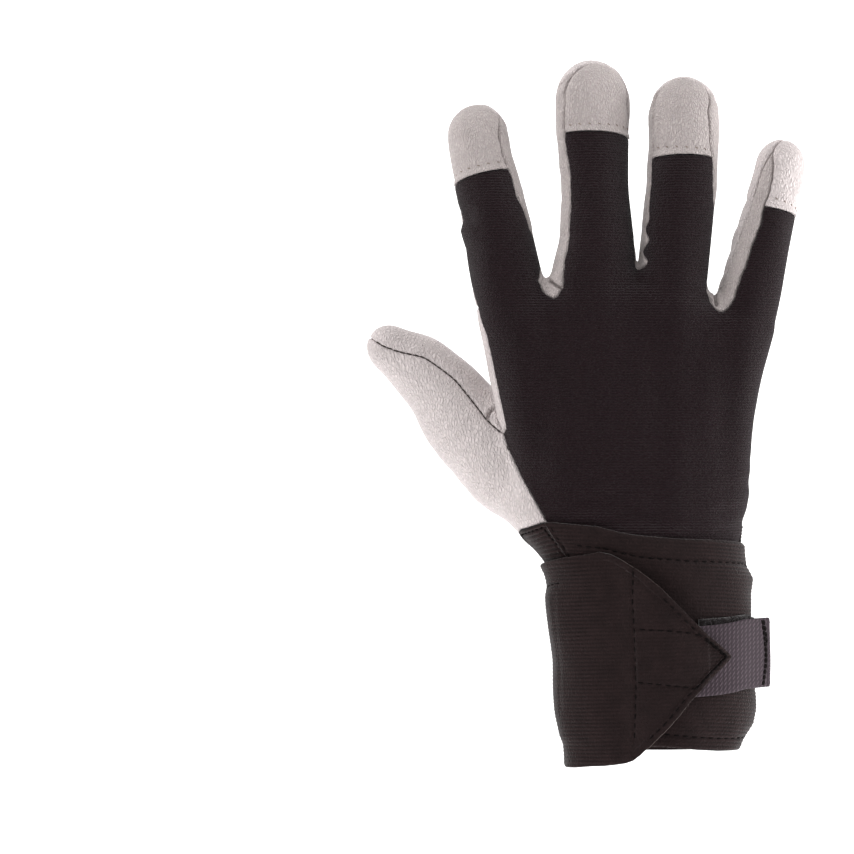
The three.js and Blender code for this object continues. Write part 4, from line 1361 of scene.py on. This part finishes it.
class GLOVE_OT_caps(bpy.types.Operator):
    """Adds the topstitched fingertip caps"""

    bl_idname = "glove.caps"
    bl_label = "Fingertip caps"

    def execute(self, context):
        sizes, colours = context.scene.glove_sizes, context.scene.glove_colours
        runs = []
        for finger in FINGERS:
            # All caps but the little finger's, which the right light falls on, take the darker leather as painted
            # shade.
            hide = "leather" if finger == "little" else "grey_leather"
            add_panel("cap_" + finger, cap_relief, goatskin(hide), "leather", THIN_WALL)
            ray = RAYS[finger]
            angle = np.radians(np.linspace(-190, 10, 120))
            s = np.full(len(angle), ray.length - SEWING[finger]["cap"] + sizes.stitch_inset * 1000)
            run, normals = onto_form(ray.point(s, angle)[0], 2)
            q = seams(run)
            keep = q["back"] > 1.0
            run, normals, q = run[keep], normals[keep], {key: value[keep] for key, value in q.items()}
            raised = cap_relief(run, normals, np.full(len(run), 2.7), q)
            runs.append((run + normals * (raised + 0.1)[:, None], normals))
        add_stitches("cap_topstitching", runs, thread("polyester_thread_grey", colours.topstitch), "leather",
                     sizes.stitch_pitch * 1000, 1.2, 0.2, math.radians(-28))
        return {"FINISHED"}


class GLOVE_OT_thumb(bpy.types.Operator):
    """Adds the two pieces of the thumb"""

    bl_idname = "glove.thumb"
    bl_label = "Thumb"

    def execute(self, context):
        add_panel("thumb_main", thumb_relief, goatskin(), "leather", FRONT_WALL)
        add_panel("thumb_gusset", folded_relief("thumb_gusset"), goatskin(), "leather", THIN_WALL)
        s = np.linspace(30, THUMB_RAY.length - 1, 200)
        angle = -np.arccos(thumb_seam(s))
        run, normals = onto_form(THUMB_RAY.point(s, angle)[0], 2)
        dark = thread("polyester_thread_brown", context.scene.glove_colours.seam_thread)
        add_stitches("thumb_seam_thread", [(run - normals * 0.55, normals)], dark, "leather", *STITCHES["thumb"])
        return {"FINISHED"}


class GLOVE_OT_back(bpy.types.Operator):
    """Adds the knit back of the hand and fingers"""

    bl_idname = "glove.back"
    bl_label = "Knit back"

    def execute(self, context):
        add_panel("back", knit_relief, stretch_knit(), "knit", THIN_WALL)
        return {"FINISHED"}


class GLOVE_OT_cuff(bpy.types.Operator):
    """Adds the elastic cuff under the wrap"""

    bl_idname = "glove.cuff"
    bl_label = "Cuff"

    def execute(self, context):
        add_panel("cuff", cuff_relief, ribbed_elastic(), "elastic", ELASTIC, CuffRibs)
        angle = np.radians(np.linspace(-60, 300, 500))
        z = np.full(len(angle), 86.0)
        for _ in range(6):
            run = round_wrist(z, angle, 0)[0]
            z = z - seams(run)["hand"] - CuffRibs.row
        run, normals = onto_form(round_wrist(z, angle, 0)[0], 2)
        raised = cuff_relief(run, normals, None, seams(run))
        dark = thread("polyester_thread_black", context.scene.glove_colours.dark_thread)
        runs = [(run + normals * (raised + 0.1)[:, None], normals)]
        add_stitches("cuff_topstitching", runs, dark, "elastic", *STITCHES["cuff"])
        return {"FINISHED"}


class GLOVE_OT_wrap(bpy.types.Operator):
    """Adds the ribbed wrist wrap with its pointed tab and stitching"""

    bl_idname = "glove.wrap"
    bl_label = "Wrist wrap"

    def execute(self, context):
        colours = context.scene.glove_colours
        # Fine where its first end and its tab are cut at a slant.
        angles = np.concatenate([np.arange(-53, -40, 0.5), np.arange(-40, 335, 2.05), np.arange(335, 398, 0.66),
                                 [398]])
        low, high, out = wrap_row(angles)
        columns = np.stack([angles, low, high, out, 0 * angles], axis=1)
        shares = np.linspace(0, 1, 241)
        piece, n = add_band("wrist_wrap", columns, shares, ELASTIC, wrap_height, ribbed_elastic(), "elastic", wrap_sag)
        z = lerp(low[:, None], high[:, None], shares[None, :]).ravel()
        angle = np.repeat(angles, len(shares))
        ribs = np.zeros(len(piece.data.vertices))
        # The rib attribute paints the rib tops lighter and the grooves darker, as painted highlight and shade, most at
        # the sides of the wrist.
        ribs[:n] = lerp(0.4, rib_wave(angle, z), rib_strength_and_side_light(angle))
        piece.data.attributes.new("rib", "FLOAT", "POINT").data.foreach_set("value", ribs)
        dark = thread("polyester_thread_black", colours.dark_thread)
        runs = [wrap_points(angle_of(row[:, 0]), row[:, 1], 0.1) for row in wrap_rows()]
        add_stitches("wrap_topstitching", runs, dark, "elastic", *STITCHES["wrap"])
        tip = [edge_line(384, 397, 2, 1.5), edge_line(379, 397, 1, 1.8)]
        runs = [wrap_points(angle_of(row[:, 0]), row[:, 1], 0.1) for row in tip]
        add_stitches("tab_tip_stitching", runs, dark, "elastic", *STITCHES["tab_tip"])
        worn = thread("polyester_thread_worn", colours.worn_thread_and_highlight)
        angle = np.linspace(349, 397, 160)
        # The strand along the low edge is worn thread ends at the cut edge; the thin light strand along the high edge
        # is a painted highlight, where the folded edge catches the light.
        for name, column, radius in (("tab_low_edge_thread", 0, 0.18), ("tab_high_edge_thread", 1, 0.11)):
            edge, _ = wrap_points(angle, wrap_row(angle)[column] + 0.1 - 0.2 * column, -0.4)
            add_strand(name, edge, radius, worn, "elastic")
        return {"FINISHED"}


class GLOVE_OT_strap(bpy.types.Operator):
    """Adds the hook strap under the tab"""

    bl_idname = "glove.strap"
    bl_label = "Hook strap"

    def execute(self, context):
        on_patch = CUFF_GAP + ELASTIC + PATCH["thick"] + 2 * LAYER_GAP
        lying, straight = 30, 24
        angles = np.r_[np.linspace(STRAP["start"], STRAP["end"], lying), np.full(straight, STRAP["end"])]
        on = np.r_[np.zeros(lying), np.linspace(0, STRAP["tongue"], straight + 1)[1:]]
        z = STRAP["z"] + STRAP["rise"] * ((angles - STRAP["start"]) / (STRAP["end"] - STRAP["start"])) ** 2
        half = STRAP["width"] / 2
        columns = np.stack([angles, z - half, z + half, np.full(len(angles), on_patch), on], axis=1)
        count = 61

        def height(angle, z, share, width):
            edge = np.minimum(share, 1 - share) * width
            seam = np.exp(-(((STRAP["tongue"] - 2 - np.repeat(on, count)) / 0.5) ** 2))
            return -0.35 * np.exp(-edge / 0.4) + 0.12 * np.exp(-(((edge - 1.6) / 0.5) ** 2)) - 0.25 * seam

        add_band("hook_strap", columns, np.linspace(0, 1, count), STRAP["thick"], height, hook_tape(), "webbing")
        dark = thread("polyester_thread_black", context.scene.glove_colours.dark_thread)
        runs = []
        # Two rows all the way, and a third on the upper part: real stitches, made thick and tripled at the top to stand
        # for the shadow of a fold there, as painted shade.
        for inset, first, last in ((0, 0.8, 24.6), (0.7, 0.8, 24.8), (-0.6, 16, 24.8)):
            up = np.linspace(first, last, 60)
            to_end = 2.4 + 1.7 * (2 * up / STRAP["width"] - 1) ** 2 + inset
            runs.append(round_wrist(z[-1] - half + up, np.full(60, np.radians(STRAP["end"])),
                                    on_patch + STRAP["thick"] - 0.05, STRAP["tongue"] - to_end))
        add_stitches("strap_end_stitching", runs, dark, "webbing", *STITCHES["strap"])
        return {"FINISHED"}


class GLOVE_OT_patch(bpy.types.Operator):
    """Adds the fuzzy loop patch that the strap holds on to"""

    bl_idname = "glove.patch"
    bl_label = "Loop patch"

    def execute(self, context):
        on_wrap = CUFF_GAP + ELASTIC + LAYER_GAP
        first, last = PATCH["middle"][0][0], PATCH["middle"][-1][0]
        angles = np.linspace(first, last, 110)
        z = along(PATCH["middle"], angles)
        half = along(PATCH["half"], angles)
        columns = np.stack([angles, z - half, z + half, np.full(len(angles), on_wrap), 0 * angles], axis=1)

        def height(angle, z, share, width):
            edge = np.minimum(share, 1 - share) * width
            place = np.stack([angle * 0.63, z, share * 3], axis=1)
            return -0.7 * np.exp(-edge / 0.6) + 0.22 * ripple(place, 1.6, 31) + 0.2 * ripple(place, 4.0, 33)

        add_band("loop_patch", columns, np.linspace(0, 1, 60), PATCH["thick"], height, loop_pile(), "loop_pile")
        self.add_loops(on_wrap + PATCH["thick"] - 0.3, first, last)
        return {"FINISHED"}

    def add_loops(self, out, first, last):
        """Standing loops all over the patch, each a curved thread."""
        rng = np.random.default_rng(7)
        count, stations = 2600, 5
        angle = rng.uniform(first + 0.3, last - 0.3, count)
        offset = rng.uniform(-1, 1, count) * along(PATCH["half"], angle)
        base, normals = round_wrist(along(PATCH["middle"], angle) + offset, np.radians(angle), out)
        turn = rng.uniform(0, math.pi, count)[:, None]
        flat = unit(np.cross(normals, [0, 0, 1.0]))
        way = flat * np.cos(turn) + np.array([0, 0, 1.0]) * np.sin(turn)
        lean = rng.normal(0, 0.3, (count, 1)) * np.cross(way, normals)
        reach, tall = rng.uniform(0.35, 0.8, (count, 1)), rng.uniform(0.4, 0.9, (count, 1))
        corners = []
        for a in np.linspace(-0.1, math.pi + 0.1, stations):
            middle = base + way * reach * math.cos(a) + (normals + lean) * tall * math.sin(a)
            out_way = unit(way * math.cos(a) + normals * math.sin(a))
            across = np.cross(way, normals)
            corners += [middle + 0.1 * (out_way * math.cos(b) + across * math.sin(b)) for b in (0.5, 2.6, 4.7)]
        corners = np.stack(corners, axis=1).reshape(-1, 3)
        faces = []
        for i in range(count):
            for k in range(stations - 1):
                a = 3 * (i * stations + k)
                faces += [(a + j, a + (j + 1) % 3, a + 3 + (j + 1) % 3, a + 3 + j) for j in range(3)]
        add_mesh("patch_loops", corners, faces, loop_pile(), "loop_pile")


class GLOVE_OT_stage(bpy.types.Operator):
    """Adds the floor, the lights and the camera"""

    bl_idname = "glove.stage"
    bl_label = "Stage"

    def execute(self, context):
        scene = context.scene
        profile = [(-0.9, -0.32), (1.6, -0.32), (2.1, -0.27), (2.45, -0.05), (2.6, 0.4), (2.62, 4.0)]
        points = [(x * 1000, y * 1000, z * 1000) for y, z in profile for x in (-4, 4)]
        faces = [(2 * i, 2 * i + 1, 2 * i + 3, 2 * i + 2) for i in range(len(profile) - 1)]
        floor = bpy.data.objects.new("floor", bpy.data.meshes.new("floor"))
        floor.data.from_pydata((np.array(points) * 0.001).tolist(), [], faces)
        context.collection.objects.link(floor)
        material = bpy.data.materials.new("white_paper_sweep")
        material.use_nodes = True
        shader = material.node_tree.nodes["Principled BSDF"]
        shader.inputs["Base Color"].default_value = (0.9, 0.9, 0.9, 1)
        shader.inputs["Roughness"].default_value = 0.9
        shader.inputs["Emission Color"].default_value = (1, 1, 1, 1)
        shader.inputs["Emission Strength"].default_value = 0.86
        floor.data.materials.append(material)
        world = bpy.data.worlds.new("white_studio")
        world.use_nodes = True
        world.node_tree.nodes["Background"].inputs["Color"].default_value = (1, 1, 1, 1)
        world.node_tree.nodes["Background"].inputs["Strength"].default_value = 0.3
        scene.world = world
        for name, place, size, power in (
            ("left_softbox", (-1.15, -0.4, 0.35), 0.8, 7.5),
            ("right_softbox", (1.15, -0.1, 0.3), 0.8, 20),
            ("top_softbox", (-0.35, -0.15, 1.3), 0.9, 15),
        ):
            light = bpy.data.lights.new(name, "AREA")
            light.size, light.energy = size, power
            lamp = bpy.data.objects.new(name, light)
            lamp.location = place
            lamp.rotation_euler = (Vector((-0.03, 0, 0.13)) - Vector(place)).to_track_quat("-Z", "Y").to_euler()
            context.collection.objects.link(lamp)
        camera = bpy.data.cameras.new("camera")
        camera.sensor_width = 36
        camera.lens = 36 * 1.1 / RENDER_WIDTH_M
        camera.clip_end = 100
        view = bpy.data.objects.new("camera", camera)
        view.location = (-0.0847, -1.1, 0.126)
        view.rotation_euler = (math.pi / 2, 0, 0)
        context.collection.objects.link(view)
        scene.camera = view
        scene.view_settings.view_transform = "Standard"
        return {"FINISHED"}


OPERATORS = (GLOVE_OT_palm, GLOVE_OT_sides, GLOVE_OT_caps, GLOVE_OT_thumb, GLOVE_OT_back, GLOVE_OT_cuff,
             GLOVE_OT_wrap, GLOVE_OT_strap, GLOVE_OT_patch, GLOVE_OT_stage)


class GLOVE_PT_pieces(bpy.types.Panel):
    """Lists the pieces of the glove"""

    bl_idname = "GLOVE_PT_pieces"
    bl_label = "Glove"
    bl_space_type = "VIEW_3D"
    bl_region_type = "UI"
    bl_category = "Glove"

    def draw(self, context):
        for group in (context.scene.glove_sizes, context.scene.glove_colours):
            for key in group.__annotations__:
                self.layout.prop(group, key)
        for operator in OPERATORS:
            self.layout.operator(operator.bl_idname)


CLASSES = (GloveSizes, GloveColours, *OPERATORS, GLOVE_PT_pieces)


def register():
    for cls in CLASSES:
        bpy.utils.register_class(cls)
    bpy.types.Scene.glove_sizes = PointerProperty(type=GloveSizes)
    bpy.types.Scene.glove_colours = PointerProperty(type=GloveColours)


def unregister():
    del bpy.types.Scene.glove_colours
    del bpy.types.Scene.glove_sizes
    for cls in reversed(CLASSES):
        bpy.utils.unregister_class(cls)


def main():
    register()
    for operator in OPERATORS:
        group, name = operator.bl_idname.split(".")
        getattr(getattr(bpy.ops, group), name)()


if __name__ == "__main__":
    main()
